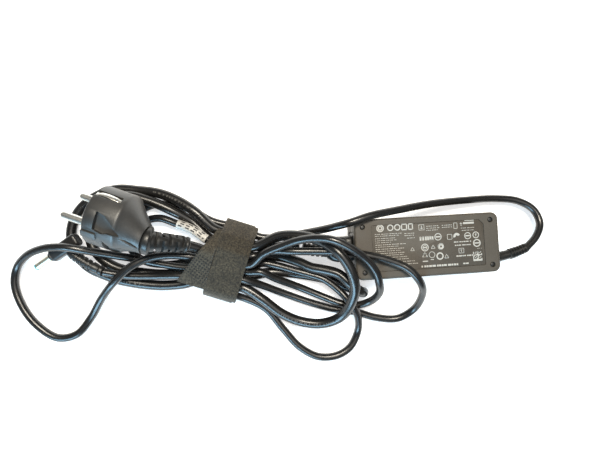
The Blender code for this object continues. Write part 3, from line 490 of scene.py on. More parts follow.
def cord_material(name, printed):
    """Extruded satin jacket: fine lengthwise drawing lines, handling marks, small print on one side."""
    material, tree, shader = new_material(name)
    uv = tree.nodes.new("ShaderNodeUVMap")
    uv.uv_map = "along_round"
    split = tree.nodes.new("ShaderNodeSeparateXYZ")
    tree.links.new(uv.outputs["UV"], split.inputs[0])
    stretched = add(tree, "ShaderNodeCombineXYZ")
    tree.links.new(multiply(tree, split.outputs["X"], 90.0), stretched.inputs["X"])
    tree.links.new(multiply(tree, split.outputs["Y"], 26.0), stretched.inputs["Y"])
    lines = noise(tree, stretched.outputs[0], 1.0, 3.0, 0.6)
    coords = object_coords(tree)
    wide = noise(tree, coords, 45.0, 4.0)
    fine = noise(tree, coords, 3200.0, 2.0)
    tone = ramp(tree, wide, ((0.3, (0.006, 0.006, 0.0062)), (0.7, (0.011, 0.0105, 0.01))))
    if printed:
        cells = add(tree, "ShaderNodeTexVoronoi", (("voronoi_dimensions", "1D"),), (("Scale", 1.0),))
        tree.links.new(multiply(tree, split.outputs["X"], 520.0), cells.inputs["W"])
        marks = ramp(tree, cells.outputs["Distance"], ((0.16, 1.0), (0.24, 0.0)))
        groups = add(tree, "ShaderNodeTexNoise", (("noise_dimensions", "1D"),),
                     (("Scale", 1.0), ("Detail", 0.0)))
        tree.links.new(multiply(tree, split.outputs["X"], 22.0), groups.inputs["W"])
        words = ramp(tree, groups.outputs["Fac"], ((0.5, 0.0), (0.54, 1.0)))
        side = ramp(tree, split.outputs["Y"], ((0.21, 0.0), (0.225, 1.0), (0.26, 1.0), (0.275, 0.0)))
        mask = multiply(tree, multiply(tree, marks, words), side)
        tone = mix_colour(tree, multiply(tree, mask, 0.3), tone, (0.3, 0.29, 0.27))
    tree.links.new(tone, shader.inputs["Base Color"])
    gloss = ramp(tree, lines, ((0.25, 0.22), (0.75, 0.34)))
    tree.links.new(gloss, shader.inputs["Roughness"])
    shader.inputs["Specular IOR Level"].default_value = 0.62
    relief = bump(tree, shader, lines, 0.25, 0.00005)
    grain = add(tree, "ShaderNodeBump", (), (("Strength", 0.25), ("Distance", 0.00003)))
    tree.links.new(fine, grain.inputs["Height"])
    tree.links.new(grain.outputs["Normal"], relief.inputs["Normal"])
    return material


def woven_material(name, dark, light, painted_hole_grid):
    """Brushed strap: looped fibres, brighter along its threads; with a grid, its mesh holes are not cut but
    painted near-black, as painted shade.
    """
    material, tree, shader = new_material(name)
    uv = tree.nodes.new("ShaderNodeUVMap")
    uv.uv_map = "weave"
    coords = object_coords(tree)
    loops = add(tree, "ShaderNodeTexVoronoi", (("feature", "F1"),), (("Scale", 1900.0),))
    tree.links.new(coords, loops.inputs["Vector"])
    fibre = noise(tree, coords, 900.0, 8.0, 0.75)
    wide = noise(tree, coords, 110.0, 4.0)
    tone = ramp(tree, fibre, ((0.4, dark), (0.62, light)))
    shade = ramp(tree, wide, ((0.3, 0.72), (0.7, 1.12)))
    colour = mix_colour(tree, 1.0, tone, shade, "MULTIPLY")
    height = mix_colour(tree, 0.5, loops.outputs["Distance"], fibre)
    if painted_hole_grid:
        split = tree.nodes.new("ShaderNodeSeparateXYZ")
        tree.links.new(uv.outputs["UV"], split.inputs[0])
        waves = []
        for axis, pitch in (("X", 1.9), ("Y", 1.9)):
            node = add(tree, "ShaderNodeMath", (("operation", "PINGPONG"),))
            tree.links.new(split.outputs[axis], node.inputs[0])
            node.inputs[1].default_value = pitch / 2
            waves.append(ramp(tree, node.outputs[0], ((0.38, 0.0), (0.52, 1.0))))
        holes = multiply(tree, waves[0], waves[1])
        along = multiply(tree, split.outputs["Y"], 1.0 / TAIL_SPAN)
        stretch = ramp(tree, along, ((0.42, 0.0), (0.46, 1.0), (0.8, 1.0), (0.84, 0.0)))
        holes = multiply(tree, holes, stretch)
        # Painted shade: the mesh holes are not cut, and their cells are painted near-black for the dark seen
        # through them.
        colour = mix_colour(tree, holes, colour, (0.004, 0.004, 0.004))
    tree.links.new(colour, shader.inputs["Base Color"])
    shader.inputs["Roughness"].default_value = 0.92
    shader.inputs["Sheen Weight"].default_value = 0.35
    shader.inputs["Sheen Roughness"].default_value = 0.45
    bump(tree, shader, height, 0.8, 0.00035)
    return material


def metal_material(name, tint, rough):
    """Plated metal with fine turning lines and handling marks."""
    material, tree, shader = new_material(name)
    coords = object_coords(tree)
    fine = noise(tree, coords, 1500.0, 4.0)
    wide = noise(tree, coords, 160.0, 4.0)
    dark = tuple(c * 0.86 for c in tint)
    tree.links.new(ramp(tree, wide, ((0.3, dark), (0.7, tint))), shader.inputs["Base Color"])
    tree.links.new(ramp(tree, fine, ((0.25, rough - 0.06), (0.75, rough + 0.1))), shader.inputs["Roughness"])
    shader.inputs["Metallic"].default_value = 1.0
    bump(tree, shader, fine, 0.2, 0.00002)
    return material


M = {
    "case": moulded("case_grain", (0.062, 0.053, 0.042), (0.075, 0.065, 0.052), 0.56, 2200.0, 0.00005,
                    spread=0.05),
    "plate": moulded("plate_film", (0.064, 0.056, 0.046), (0.076, 0.067, 0.055), 0.62, 1500.0, 0.00002,
                     spread=0.05),
    "print": moulded("print_ink", (0.42, 0.41, 0.38), (0.5, 0.49, 0.46), 0.55, 3000.0, 0.00001),
    "foot": moulded("foot_rubber", (0.01, 0.01, 0.01), (0.02, 0.02, 0.02), 0.42, 2500.0, 0.00003),
    "black": moulded("black_moulding", (0.008, 0.008, 0.0082), (0.016, 0.0155, 0.015), 0.38, 1800.0, 0.00006),
    "relief": moulded("relief_rubber", (0.009, 0.009, 0.009), (0.018, 0.0175, 0.0165), 0.36, 2400.0, 0.00004),
    "plug": moulded("plug_grain", (0.014, 0.0135, 0.0125), (0.024, 0.023, 0.021), 0.46, 1500.0, 0.00014,
                    spread=0.06,
                     shine=1.0),
    "mains": cord_material("mains_jacket", True),
    "dc": cord_material("dc_jacket", False),
    "strap": woven_material("strap_weave", (0.008, 0.0065, 0.004), (0.075, 0.062, 0.041), False),
    "mesh": woven_material("strap_mesh", (0.016, 0.013, 0.0085), (0.085, 0.073, 0.052), True),
    "nickel": metal_material("nickel_plate", (0.78, 0.76, 0.7), 0.3),
    "barrel": metal_material("barrel_plate", (0.72, 0.68, 0.56), 0.42),
    "brass": metal_material("contact_plate", (0.78, 0.66, 0.42), 0.25),
    "tip": moulded("tip_plastic", (0.0, 0.34, 0.42), (0.005, 0.42, 0.5), 0.45, 2000.0, 0.00001),
    "paper": moulded("paper_film", (0.55, 0.54, 0.51), (0.66, 0.65, 0.62), 0.5, 1500.0, 0.00002),
    "board": moulded("board_mask", (0.02, 0.09, 0.03), (0.03, 0.13, 0.05), 0.35, 900.0, 0.00005),
    "component": moulded("component_body", (0.02, 0.02, 0.022), (0.035, 0.035, 0.04), 0.4, 1500.0, 0.00005),
    "yellow": moulded("film_box", (0.5, 0.36, 0.03), (0.6, 0.44, 0.05), 0.35, 1500.0, 0.00003),
    "blue": moulded("disc_coat", (0.02, 0.08, 0.25), (0.03, 0.11, 0.33), 0.3, 1500.0, 0.00004),
    "ferrite": moulded("ferrite_core", (0.03, 0.03, 0.034), (0.05, 0.05, 0.055), 0.6, 900.0, 0.0001),
    "copper": metal_material("enamelled_wire", (0.6, 0.26, 0.09), 0.3),
    "can": moulded("can_sleeve", (0.012, 0.014, 0.03), (0.02, 0.024, 0.05), 0.25, 900.0, 0.00002),
    "aluminium": metal_material("sheared_aluminium", (0.8, 0.8, 0.81), 0.35),
    "sheet": moulded("insulating_film", (0.4, 0.4, 0.36), (0.5, 0.5, 0.46), 0.3, 900.0, 0.00002),
}

CAD_MATERIALS = {
    "case_plastic": "case", "rating_label": "plate", "foot_rubber": "foot", "board_laminate": "board",
    "inlet_plastic": "black", "connector_plastic": "black", "relief_plastic": "relief",
    "contact_brass": "brass", "component_plastic": "component", "film_yellow": "yellow",
    "disc_blue": "blue", "ferrite": "ferrite", "winding_copper": "copper", "capacitor_can": "can",
    "sink_aluminium": "aluminium", "sheet_plastic": "sheet", "cord_jacket": "dc", "plug_plastic": "plug",
    "plated_metal": "nickel", "tip_ring": "tip", "dc_plug_plastic": "black", "strap_weave": "strap",
    "paper_sleeve": "paper",
}


def dress_cad_nodes():
    """Every CAD node gets the procedural material of its slot."""
    for entry in frame["record"]["subparts"]:
        obj = cad_node(entry["node"])
        obj.data.materials.clear()
        obj.data.materials.append(M[CAD_MATERIALS[entry["material_slot"]]])


# ---------------------------------------------------------------- meshes
SHARP_ANGLE = 38.0


def make_mesh(name, points, faces, material, angle=SHARP_ANGLE):
    mesh = bpy.data.meshes.new(name)
    mesh.from_pydata([tuple(Vector(p) * MM) for p in points], [], faces)
    shell = bmesh.new()
    shell.from_mesh(mesh)
    bmesh.ops.recalc_face_normals(shell, faces=shell.faces)
    shell.to_mesh(mesh)
    shell.free()
    mesh.shade_smooth()
    mesh.set_sharp_from_angle(angle=math.radians(angle))
    obj = bpy.data.objects.new(name, mesh)
    bpy.context.scene.collection.objects.link(obj)
    mesh.materials.append(material)
    return obj


def ring_faces(rings, looped):
    count = len(rings[0])
    faces = []
    for i in range(len(rings) if looped else len(rings) - 1):
        a = i * count
        b = ((i + 1) % len(rings)) * count
        for k in range(count):
            n = (k + 1) % count
            faces.append((a + k, a + n, b + n, b + k))
    if not looped:
        faces.append(tuple(range(count)))
        faces.append(tuple(range((len(rings) - 1) * count, len(rings) * count)))
    return faces


def skin(name, rings, material, looped=False, angle=SHARP_ANGLE):
    points = [p for ring in rings for p in ring]
    return make_mesh(name, points, ring_faces(rings, looped), material, angle)


def turned(name, start, direction, profile, material, sides=40, looped=False, angle=SHARP_ANGLE):
    direction = direction.normalized()
    u, v = side_axes(direction)
    rings = [placed(circle(r, sides), start + direction * t, u, v) for t, r in profile]
    return skin(name, rings, material, looped, angle)


def rounded_profile(profile, radius, steps=4):
    """Rounds the corners of a (distance, radius) profile with small arcs."""
    points = [Vector(p) for p in profile]
    result = [tuple(points[0])]
    for a, b, c in zip(points, points[1:], points[2:]):
        reach = min(radius, (b - a).length * 0.45, (c - b).length * 0.45)
        start = b + (a - b).normalized() * reach if reach > 0 else b
        end = b + (c - b).normalized() * reach if reach > 0 else b
        for i in range(steps + 1):
            t = i / steps
            result.append(tuple(start * (1 - t) ** 2 + b * 2 * t * (1 - t) + end * t * t))
    result.append(tuple(points[-1]))
    return result


def bent(name, controls, profile, material, sides=32, angle=SHARP_ANGLE):
    rings = []
    for t, radius in profile:
        u, v = side_axes(bezier_slope(controls, t))
        rings.append(placed(circle(radius, sides), bezier(controls, t), u, v))
    return skin(name, rings, material, False, angle)


def keep_modified(obj):
    """The result of a piece's modifiers becomes its own mesh."""
    graph = bpy.context.evaluated_depsgraph_get()
    result = bpy.data.meshes.new_from_object(obj.evaluated_get(graph))
    obj.modifiers.clear()
    obj.data = result


def smooth(obj):
    """Smooth shading that leaves the sharper edges crisp."""
    obj.data.shade_smooth()
    obj.data.set_sharp_from_angle(angle=math.radians(SHARP_ANGLE))


def carved(obj, cutters):
    """Take cutters away from a piece and keep the result as its own mesh."""
    for cutter in cutters:
        modifier = obj.modifiers.new("carve", "BOOLEAN")
        modifier.operation = "DIFFERENCE"
        modifier.solver = "EXACT"
        modifier.object = cutter
    keep_modified(obj)
    for cutter in cutters:
        bpy.data.objects.remove(cutter, do_unlink=True)
    return obj


def edged(obj, width, segments=3, angle=40.0):
    """Small rounded edges, kept as part of the mesh."""
    modifier = obj.modifiers.new("edges", "BEVEL")
    modifier.width = width * MM
    modifier.segments = segments
    modifier.limit_method = "ANGLE"
    modifier.angle_limit = math.radians(angle)
    modifier.harden_normals = False
    keep_modified(obj)
    smooth(obj)
    return obj


def block(name, centre, axes, sizes, material=None, corner=0.0, steps=4):
    """A box along three given axes, its second and third sizes making the rounded outline."""
    material = material or M["black"]
    outline = rounded_rect(sizes[1], sizes[2], max(corner, 0.01), steps if corner > 0 else 1)
    ends = (centre - axes[0] * (sizes[0] / 2), centre + axes[0] * (sizes[0] / 2))
    return skin(name, [placed(outline, end, axes[1], axes[2]) for end in ends], material)


def settle(obj, body="base", replaced=()):
    """The piece rides its body and stands for the CAD nodes named."""
    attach(obj, body)
    if replaced:
        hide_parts(*replaced)
    return obj


def along_frames(points):
    """Direction and two side vectors at each point, turned on without twist."""
    frames = []
    side = None
    for i, point in enumerate(points):
        before = points[max(0, i - 1)]
        after = points[min(len(points) - 1, i + 1)]
        ahead = (after - before).normalized()
        if side is None:
            side = side_axes(ahead)[0]
        side = (side - ahead * side.dot(ahead)).normalized()
        frames.append((ahead, side, ahead.cross(side).normalized()))
    return frames


def tube(name, points, radius, material, sides=22):
    """A cord as a mesh tube whose UV map holds (metres along, turns round)."""
    frames = along_frames(points)
    rings = []
    for point, (_, u, v) in zip(points, frames):
        rings.append(placed(circle(radius, sides), point, u, v))
    obj = skin(name, rings, material, False, 60.0)
    layer = obj.data.uv_layers.new(name="along_round")
    travelled = [0.0]
    for a, b in zip(points, points[1:]):
        travelled.append(travelled[-1] + (b - a).length * MM)
    for polygon in obj.data.polygons:
        if len(polygon.vertices) != 4:
            continue
        turns = [obj.data.loops[i].vertex_index % sides for i in polygon.loop_indices]
        wrap = max(turns) - min(turns) > 1
        for i, turn in zip(polygon.loop_indices, turns):
            ring = obj.data.loops[i].vertex_index // sides
            full = turn + sides if wrap and turn == 0 else turn
            layer.data[i].uv = (travelled[ring], full / sides)
    return obj


# ---------------------------------------------------------------- camera
def build_camera():
    data = bpy.data.cameras.new("view")
    data.sensor_fit = "HORIZONTAL"
    data.sensor_width = 36.0
    data.lens = 27.6
    camera = bpy.data.objects.new("view", data)
    camera.location = Vector((-100.9, 14.2, 317.1)) * MM
    camera.rotation_euler = (math.radians(1.05), math.radians(-3.70), math.radians(-3.45))
    bpy.context.scene.collection.objects.link(camera)
    bpy.context.scene.camera = camera


# ---------------------------------------------------------------- cords
CORD_TUCK = 0.25
FLEX_END = (-100.2, 5.5, 9.3)


def tucked(end, inner):
    """A point a little past a cord's end, so that it reaches into its strain relief."""
    return end + (end - inner).normalized() * CORD_TUCK


def build_cords():
    mains = smooth_route(MAINS_ROUTE, 1.4)
    mains = [tucked(mains[0], mains[1])] + mains
    split = nearest_index(mains, FLEX_END)
    flex = tube("cord_flex", mains[:split + 1], MAINS_RADIUS, M["mains"])
    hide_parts("mains_cord_flex")
    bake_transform(flex)
    main = tube("cord_mains", mains[split:], MAINS_RADIUS, M["mains"])
    settle(main, "base", ("mains_cord",))
    dc = smooth_route(DC_ROUTE, 1.3)
    dc = [tucked(dc[0], dc[1])] + dc
    dc.append(tucked(dc[-1], dc[-2]))
    output = tube("cord_dc", dc, DC_RADIUS, M["dc"])
    settle(output, "base", ("dc_cord",))
    return {"mains": main, "dc": output, "mains_path": mains, "split": split, "dc_path": dc}


# ---------------------------------------------------------------- brick
def shell_half(name, top):
    """Half of the case with rounded long edges; the wall is hollow as in the CAD."""
    fillet = []
    for i in range(7):
        a = math.radians(90.0 * i / 6)
        fillet.append((1.5 * (1 - math.sin(a)), 1.5 * (1 - math.cos(a))))
    fillet = [(0.0, 1.9)] + fillet[::-1]
    seam = SEAM_HIGH if top else SEAM_LOW
    side = 1 if top else -1
    outer = BRICK_HEIGHT if top else 0.0
    layers = [(outer - side * depth, inset) for depth, inset in fillet]
    layers += [(seam + side * 0.3, 0.0), (seam + side * 0.08, 0.09), (seam, 0.3), (seam, WALL),
               (outer - side * WALL, WALL)]
    rings = []
    for z, inset in layers:
        outline = rounded_rect(BRICK_LENGTH - 2 * inset, BRICK_WIDTH - 2 * inset,
                               BRICK_CORNER - inset * 0.9, 10)
        rings.append([Vector((x, y, z)) for x, y in outline])
    obj = skin(name, rings, M["case"])
    socket = block("cut_socket", Vector((-48.2, INLET_Y, INLET_Z)), (X, Y, Z), (7.6, 21.2, 16.2), corner=1.8)
    outlet = turned("cut_outlet", Vector((44, -11.5, 13.25)), X, ((0, 4.8), (8, 4.8)), M["case"])
    cutters = [socket, outlet]
    if top:
        recess = label_outline(0.0)
        rings = [[Vector((x, y, z)) for x, y in recess] for z in (25.9, 28.0)]
        cutters.append(skin("cut_recess", rings, M["case"]))
        for number, (x, y) in enumerate(foot_places()):
            well = ((0, 1.6), (0.9, 1.75), (3, 1.9))
            cutters.append(turned("cut_well_%d" % number, Vector((x, y, 25.2)), Z, well, M["case"]))
    obj = carved(obj, cutters)
    smooth(obj)
    return obj


def label_outline(inset):
    """Outline of the label's place: rounded, with its corner by the DC cord cut off."""
    left, right, low, high = -36.5 + inset, 37.5 - inset, -14.7 + inset, 15.3 - inset
    cut = 3.0
    outline = []
    for cx, cy, start in ((right - 1.2, low + 1.2, 270), (left + 1.2, high - 1.2, 90),
                          (left + 1.2, low + 1.2, 180)):
        corner = [(cx + 1.2 * math.cos(math.radians(start + 90 * k / 5)),
                   cy + 1.2 * math.sin(math.radians(start + 90 * k / 5))) for k in range(6)]
        outline.append(corner)
    return outline[0] + [(right, high - cut), (right - cut, high)] + outline[1] + outline[2]


def foot_places():
    return [(x, y) for x in (-42.1, 42.1) for y in (-14.6, 14.6)]


def build_case():
    for name, top, node in (("case_upper", True, "top_shell"), ("case_lower", False, "bottom_shell")):
        settle(shell_half(name, top), "base", (node,))
    rings = [[Vector((x, y, z)) for x, y in label_outline(inset)]
             for z, inset in ((25.93, 0.3), (26.16, 0.25), (26.25, 0.34))]
    settle(skin("label_plate", rings, M["plate"]), "base", ("rating_label_plate",))
    for number, (x, y) in enumerate(foot_places(), 1):
        profile = [(0.0, 1.35), (0.4, 1.4), (0.62, 1.32), (0.78, 1.05), (0.86, 0.65), (0.88, 0.2)]
        foot = turned("foot_%d" % number, Vector((x, y, 25.4)), Z, rounded_profile(profile, 0.1), M["foot"])
        settle(foot, "base", ("rubber_foot_%d" % number,))


# ---------------------------------------------------------------- label print
def flat_strip(points, width, height, z):
    """A closed low bar along a line of (x, y) points, ends square; returns points and faces."""
    left, right = [], []
    for i, point in enumerate(points):
        before = Vector(points[max(0, i - 1)])
        after = Vector(points[min(len(points) - 1, i + 1)])
        ahead = (after - before).normalized()
        across = Vector((-ahead.y, ahead.x)) * (width / 2)
        left.append(Vector(point) + across)
        right.append(Vector(point) - across)
    count = len(points)
    vertices = []
    for level in (z, z + height):
        vertices += [Vector((p.x, p.y, level)) for p in left + right]
    faces = []
    for i in range(count - 1):
        a, b, c, d = i, i + 1, count + i + 1, count + i
        top = 2 * count
        faces += [(a, b, c, d), (top + d, top + c, top + b, top + a),
                  (a, top + a, top + b, b), (d, c, top + c, top + d)]
    faces += [(0, count, 3 * count, 2 * count), (count - 1, 3 * count - 1, 4 * count - 1, 2 * count - 1)]
    return vertices, faces


def label_x(x):
    return 1.04 * x + 1.6


def label_y(y):
    return 1.2 * y + 0.25


def gather(store, strip):
    vertices, faces = strip
    start = len(store[0])
    store[0].extend(vertices)
    store[1].extend([tuple(i + start for i in face) for face in faces])


def arc_points(cx, cy, radius, first, last, steps=16):
    result = []
    for i in range(steps + 1):
        a = math.radians(first + (last - first) * i / steps)
        result.append((cx + radius * math.cos(a), cy + radius * math.sin(a)))
    return result


LABEL_TOP = 26.25
PRINT_HIGH = 0.04

# Rows of small print as short dashes: x start, x end, y, dash height.
PRINT_ROWS = (
    (-34.5, -17.5, 7.6, 0.35), (-34.5, -19.0, 6.6, 0.35), (-34.5, -22.0, 5.3, 0.35),
    (-34.5, -21.0, 4.2, 0.35),
    (-34.5, -24.0, 3.1, 0.35), (-34.5, -15.0, 1.9, 0.4), (-34.5, -20.0, 0.8, 0.35), (-34.5, -16.5, -0.4, 0.4),
    (-34.5, -18.5, -1.5, 0.35), (-33.5, -16.0, -2.7, 0.4), (-31.5, -17.0, -3.8, 0.35),
    (-28.0, -15.0, -5.0, 0.35),
    (-24.0, -13.5, -6.2, 0.35), (-20.5, -10.5, -7.6, 0.35), (-17.5, -8.0, -9.0, 0.4),
    (-16.0, -9.0, 7.2, 0.35), (-16.0, -10.0, 6.1, 0.35), (-14.5, -9.5, 4.7, 0.35),
    (-2.0, 6.5, 10.4, 0.35), (-2.0, 7.0, 9.3, 0.35), (-2.0, 6.0, 8.2, 0.35), (8.0, 15.0, 10.4, 0.35),
    (8.0, 14.5, 9.3, 0.35), (20.0, 29.0, 8.3, 0.35), (20.5, 28.0, 7.0, 0.35), (15.0, 26.5, 1.0, 0.7),
    (15.5, 26.0, -0.8, 0.7), (16.0, 27.5, -6.6, 0.8), (-6.5, 18.0, -11.0, 1.2), (20.0, 23.5, -10.8, 0.9),
    (29.5, 32.5, -3.2, 0.25),
)


def print_dashes(store):
    """Short bars of uneven length stand for lines of print; nothing is spelt."""
    step = 0
    for first, last, y, high in PRINT_ROWS:
        x = first
        while x < last - 0.5:
            step += 1
            length = (0.45, 0.8, 0.6, 1.0, 0.5)[step * 7 % 5] * (1.0 + high)
            end = min(last, x + length)
            print_bar(store, x, end, y, high)
            x = end + (0.28, 0.4, 0.3, 0.75)[step * 5 % 4]


def print_ring(store, cx, cy, radius, width=0.35, first=0, last=360):
    arc = arc_points(label_x(cx), label_y(cy), radius, first, last, 24)
    gather(store, flat_strip(arc, width, PRINT_HIGH, LABEL_TOP))


def print_frame(store, cx, cy, wide, high, width=0.3):
    cx, cy = label_x(cx), label_y(cy)
    x0, x1, y0, y1 = cx - wide / 2, cx + wide / 2, cy - high / 2, cy + high / 2
    for a, b in (((x0, y0), (x1, y0)), ((x0, y1), (x1, y1)), ((x0, y0), (x0, y1)), ((x1, y0), (x1, y1))):
        gather(store, flat_strip([a, b], width, PRINT_HIGH, LABEL_TOP))


def print_triangle(store, cx, cy, size, width=0.3):
    cx, cy = label_x(cx), label_y(cy)
    corners = [(cx + size * math.cos(math.radians(a)), cy + size * math.sin(math.radians(a)))
               for a in (90, 210, 330)]
    for a, b in zip(corners, corners[1:] + corners[:1]):
        gather(store, flat_strip([a, b], width, PRINT_HIGH, LABEL_TOP))


def print_bar(store, x0, x1, y, high):
    ends = [(label_x(x0), label_y(y)), (label_x(x1), label_y(y))]
    gather(store, flat_strip(ends, high, PRINT_HIGH, LABEL_TOP))


def print_blocks(store, cx, cy, size, cells):
    """A square of scattered cells, made by a fixed rule."""
    cx, cy = label_x(cx), label_y(cy)
    pitch = size / cells
    for i in range(cells):
        for j in range(cells):
            if (i * 7 + j * 5 + i * j * 3) % 5 in (0, 2) or i == 0 or j == 0:
                x = cx - size / 2 + pitch * i
                y = cy - size / 2 + pitch * (j + 0.5)
                gather(store, flat_strip([(x, y), (x + pitch * 0.96, y)], pitch * 0.96, PRINT_HIGH,
                                         LABEL_TOP))


def print_arrow(store, cx, cy, size, up=True):
    cx, cy = label_x(cx), label_y(cy)
    side = 1 if up else -1
    gather(store, flat_strip([(cx, cy - size), (cx, cy + size)], 0.4, PRINT_HIGH, LABEL_TOP))
    for dx in (-1, 1):
        tip = (cx, cy + side * size)
        gather(store, flat_strip([(cx + dx * size * 0.6, cy + side * size * 0.3), tip], 0.4, PRINT_HIGH,
                                 LABEL_TOP))


def build_label_print():
    """Generic print: plain rings, frames, triangles and bars; no mark of any maker."""
    store = ([], [])
    print_dashes(store)
    for cx, cy, radius in ((-31.0, 10.8, 2.1), (-31.0, 10.8, 1.1)):
        print_ring(store, cx, cy, radius, 0.7)
    for cx in (-24.6, -20.2):
        print_ring(store, cx, 10.8, 1.75, 0.65)
    for cx, wide in ((-15.9, 3.2), (-11.9, 2.6)):
        print_frame(store, cx, 10.8, wide, 3.5, 0.65)
    for cx, cy, wide, high in ((-5.0, 10.0, 3.4, 3.4), (16.6, 9.8, 2.2, 3.6),
                               (12.5, 4.0, 3.0, 3.2), (19.4, -3.8, 3.2, 3.0)):
        print_frame(store, cx, cy, wide, high)
    print_arrow(store, -5.0, 10.0, 1.1, False)
    print_arrow(store, 19.4, -3.8, 0.9)
    print_bar(store, 21.5, 28.5, 10.9, 1.2)
    print_bar(store, 22.5, 28.5, 12.2, 0.4)
    print_arrow(store, 20.2, 10.4, 1.1)
    for x in (-6.6, -4.9, -3.2, -1.8, -0.4, 1.0):
        print_bar(store, x, x + 1.1, 3.9, 2.4)
    for x, y in ((-5.6, 4.4), (-0.9, 4.9), (0.6, 3.2)):
        print_bar(store, x - 1.2, x + 1.2, y, 0.3)
    for cx, cy, radius, width in ((5.1, 4.4, 2.1, 0.5), (24.0, 4.0, 2.0, 0.5), (29.2, 4.2, 1.9, 0.5),
                                  (-3.6, -0.9, 2.2, 0.6), (-3.6, -0.9, 1.3, 0.3), (29.6, -0.2, 2.2, 0.7),
                                  (0.6, -5.0, 1.9, 0.35), (5.6, -6.0, 2.0, 0.8), (6.6, -0.9, 1.3, 1.2)):
        print_ring(store, cx, cy, radius, width)
    print_ring(store, 17.0, 4.0, 1.5, 1.5, 20, 200)
    print_ring(store, 6.6, -0.9, 1.9, 0.5, 40, 250)
    for x0, x1, y in ((3.6, 6.6, 4.4), (22.6, 25.4, 4.0), (28.0, 31.4, -0.2), (-2.5, -4.7, -0.9)):
        print_bar(store, min(x0, x1), max(x0, x1), y, 0.8)
    print_arrow(store, 29.2, 4.2, 1.0)
    for cx, cy, size in ((1.6, -1.1, 1.5), (-11.5, -1.6, 1.4), (9.8, -6.6, 1.6)):
        print_triangle(store, cx, cy, size)
    print_triangle(store, -3.9, -5.1, 2.0)
    print_frame(store, -3.9, -5.1, 1.8, 2.2, 0.3)
    print_bar(store, -5.5, -2.2, -8.3, 0.7)
    print_bar(store, -0.4, 1.6, -7.6, 0.5)
    print_blocks(store, 29.6, -7.4, 6.0, 10)
    marks = make_mesh("label_print", store[0], store[1], M["print"], 30.0)
    settle(marks)


# ---------------------------------------------------------------- cord ends at the brick
def build_grommet():
    start, bend, end = Vector((42.6, -11.5, 13.25)), Vector((58.0, -11.5, 13.2)), Vector((73.2, -5.7, 13.0))
    profile = [(0.0, 5.2), (0.05, 5.2), (0.06, 4.4), (0.172, 4.4), (0.178, 4.6), (0.2, 4.6), (0.225, 4.25),
               (0.26, 3.85), (0.31, 3.55), (0.38, 3.35), (0.5, 3.2), (0.57, 3.15)]
    profile += rounded_profile(ribbed(0.58, 0.985, 6, 3.7, 3.3, 0.7), 0.2, 2)
    profile.append((0.995, 3.0))
    settle(bent("dc_grommet", (start, bend, end), profile, M["relief"]), "base",
           ("dc_cord_grommet",))


def build_connector():
    rings = []
    grip = ((-47.8, 15.4, 12.2, 2.6), (-48.1, 16.4, 13.1, 3.0), (-48.6, 16.8, 13.5, 3.2),
            (-52.0, 16.8, 13.5, 3.2),
            (-52.3, 16.4, 13.1, 3.2), (-53.3, 16.4, 13.1, 3.2), (-53.6, 16.8, 13.5, 3.2),
            (-57.5, 16.8, 13.5, 3.2),
            (-59.5, 16.0, 13.2, 3.4), (-61.3, 14.8, 12.6, 3.6), (-63.2, 12.6, 11.4, 4.8),
            (-64.0, 11.6, 10.8, 5.0))
    for x, wide, high, corner in grip:
        outline = rounded_rect(wide, high, corner, 6)
        rings.append([Vector((x, INLET_Y - a, INLET_Z + b)) for a, b in outline])
    controls = (Vector((-64.0, INLET_Y, INLET_Z)), Vector((-73.0, INLET_Y, 13.3)), Vector((-82.2, 3.9, 13.4)))
    ribs = [(0.03, 4.9)] + rounded_profile(ribbed(0.12, 0.985, 5, 4.6, 4.1, 0.8), 0.2, 2)
    for t, radius in ribs:
        u, v = side_axes(bezier_slope(controls, t))
        rings.append(placed(rounded_rect(2 * radius, 2 * radius, radius, 6), bezier(controls, t), u, v))
    body = skin("connector_grip", rings, M["relief"])
    hollow = [inlet_ring(clover(0.74, 0.3, 60), x) for x in (-45.0, -53.3)]
    carved(body, [skin("cut_hollow", hollow, M["black"])])
    smooth(body)
    settle(body, "mains_connector", ("mains_connector_overmould",))
    layers = ((-53.0, 0.74), (-47.5, 0.74), (-47.5, 0.97), (-47.2, 1.0), (-38.3, 1.0), (-37.7, 0.93))
    insert = skin("connector_nose", [inlet_ring(clover(s, 0.0, 60), x) for x, s in layers], M["black"])
    bores = []
    for name, (y, z) in contact_places().items():
        bores.append(turned("cut_" + name, Vector((-47.2, y, z)), X, ((0, 2.3), (11, 2.3)), M["black"]))
    carved(insert, bores)
    smooth(insert)
    settle(insert, "mains_connector", ("mains_connector_insert",))
    housing_layers = ((-47.2, 0.4), (-46.9, 0.05), (-46.6, 0.0), (-31.0, 0.0))
    rings = [inlet_ring(rounded_rect(20.6 - 2 * s, 15.6 - 2 * s, 1.6, 6), x) for x, s in housing_layers]
    housing = skin("inlet_body", rings, M["black"])
    cutters = [skin("cut_clover", [inlet_ring(clover(1.0, 0.4, 60), x) for x in (-49.0, -35.2)], M["black"])]
    for name, (y, z) in contact_places().items():
        cutters.append(turned("cut_pin_" + name, Vector((-36.0, y, z)), X, ((0, 1.4), (6, 1.4)), M["black"]))
    carved(housing, cutters)
    smooth(housing)
    settle(housing, "base", ("inlet_housing",))
    return body


def contact_places():
    return {
        "line": (INLET_Y - CORE_SPACING, INLET_Z + CORE_LOW),
        "neutral": (INLET_Y + CORE_SPACING, INLET_Z + CORE_LOW),
        "earth": (INLET_Y, INLET_Z + CORE_HIGH),
    }


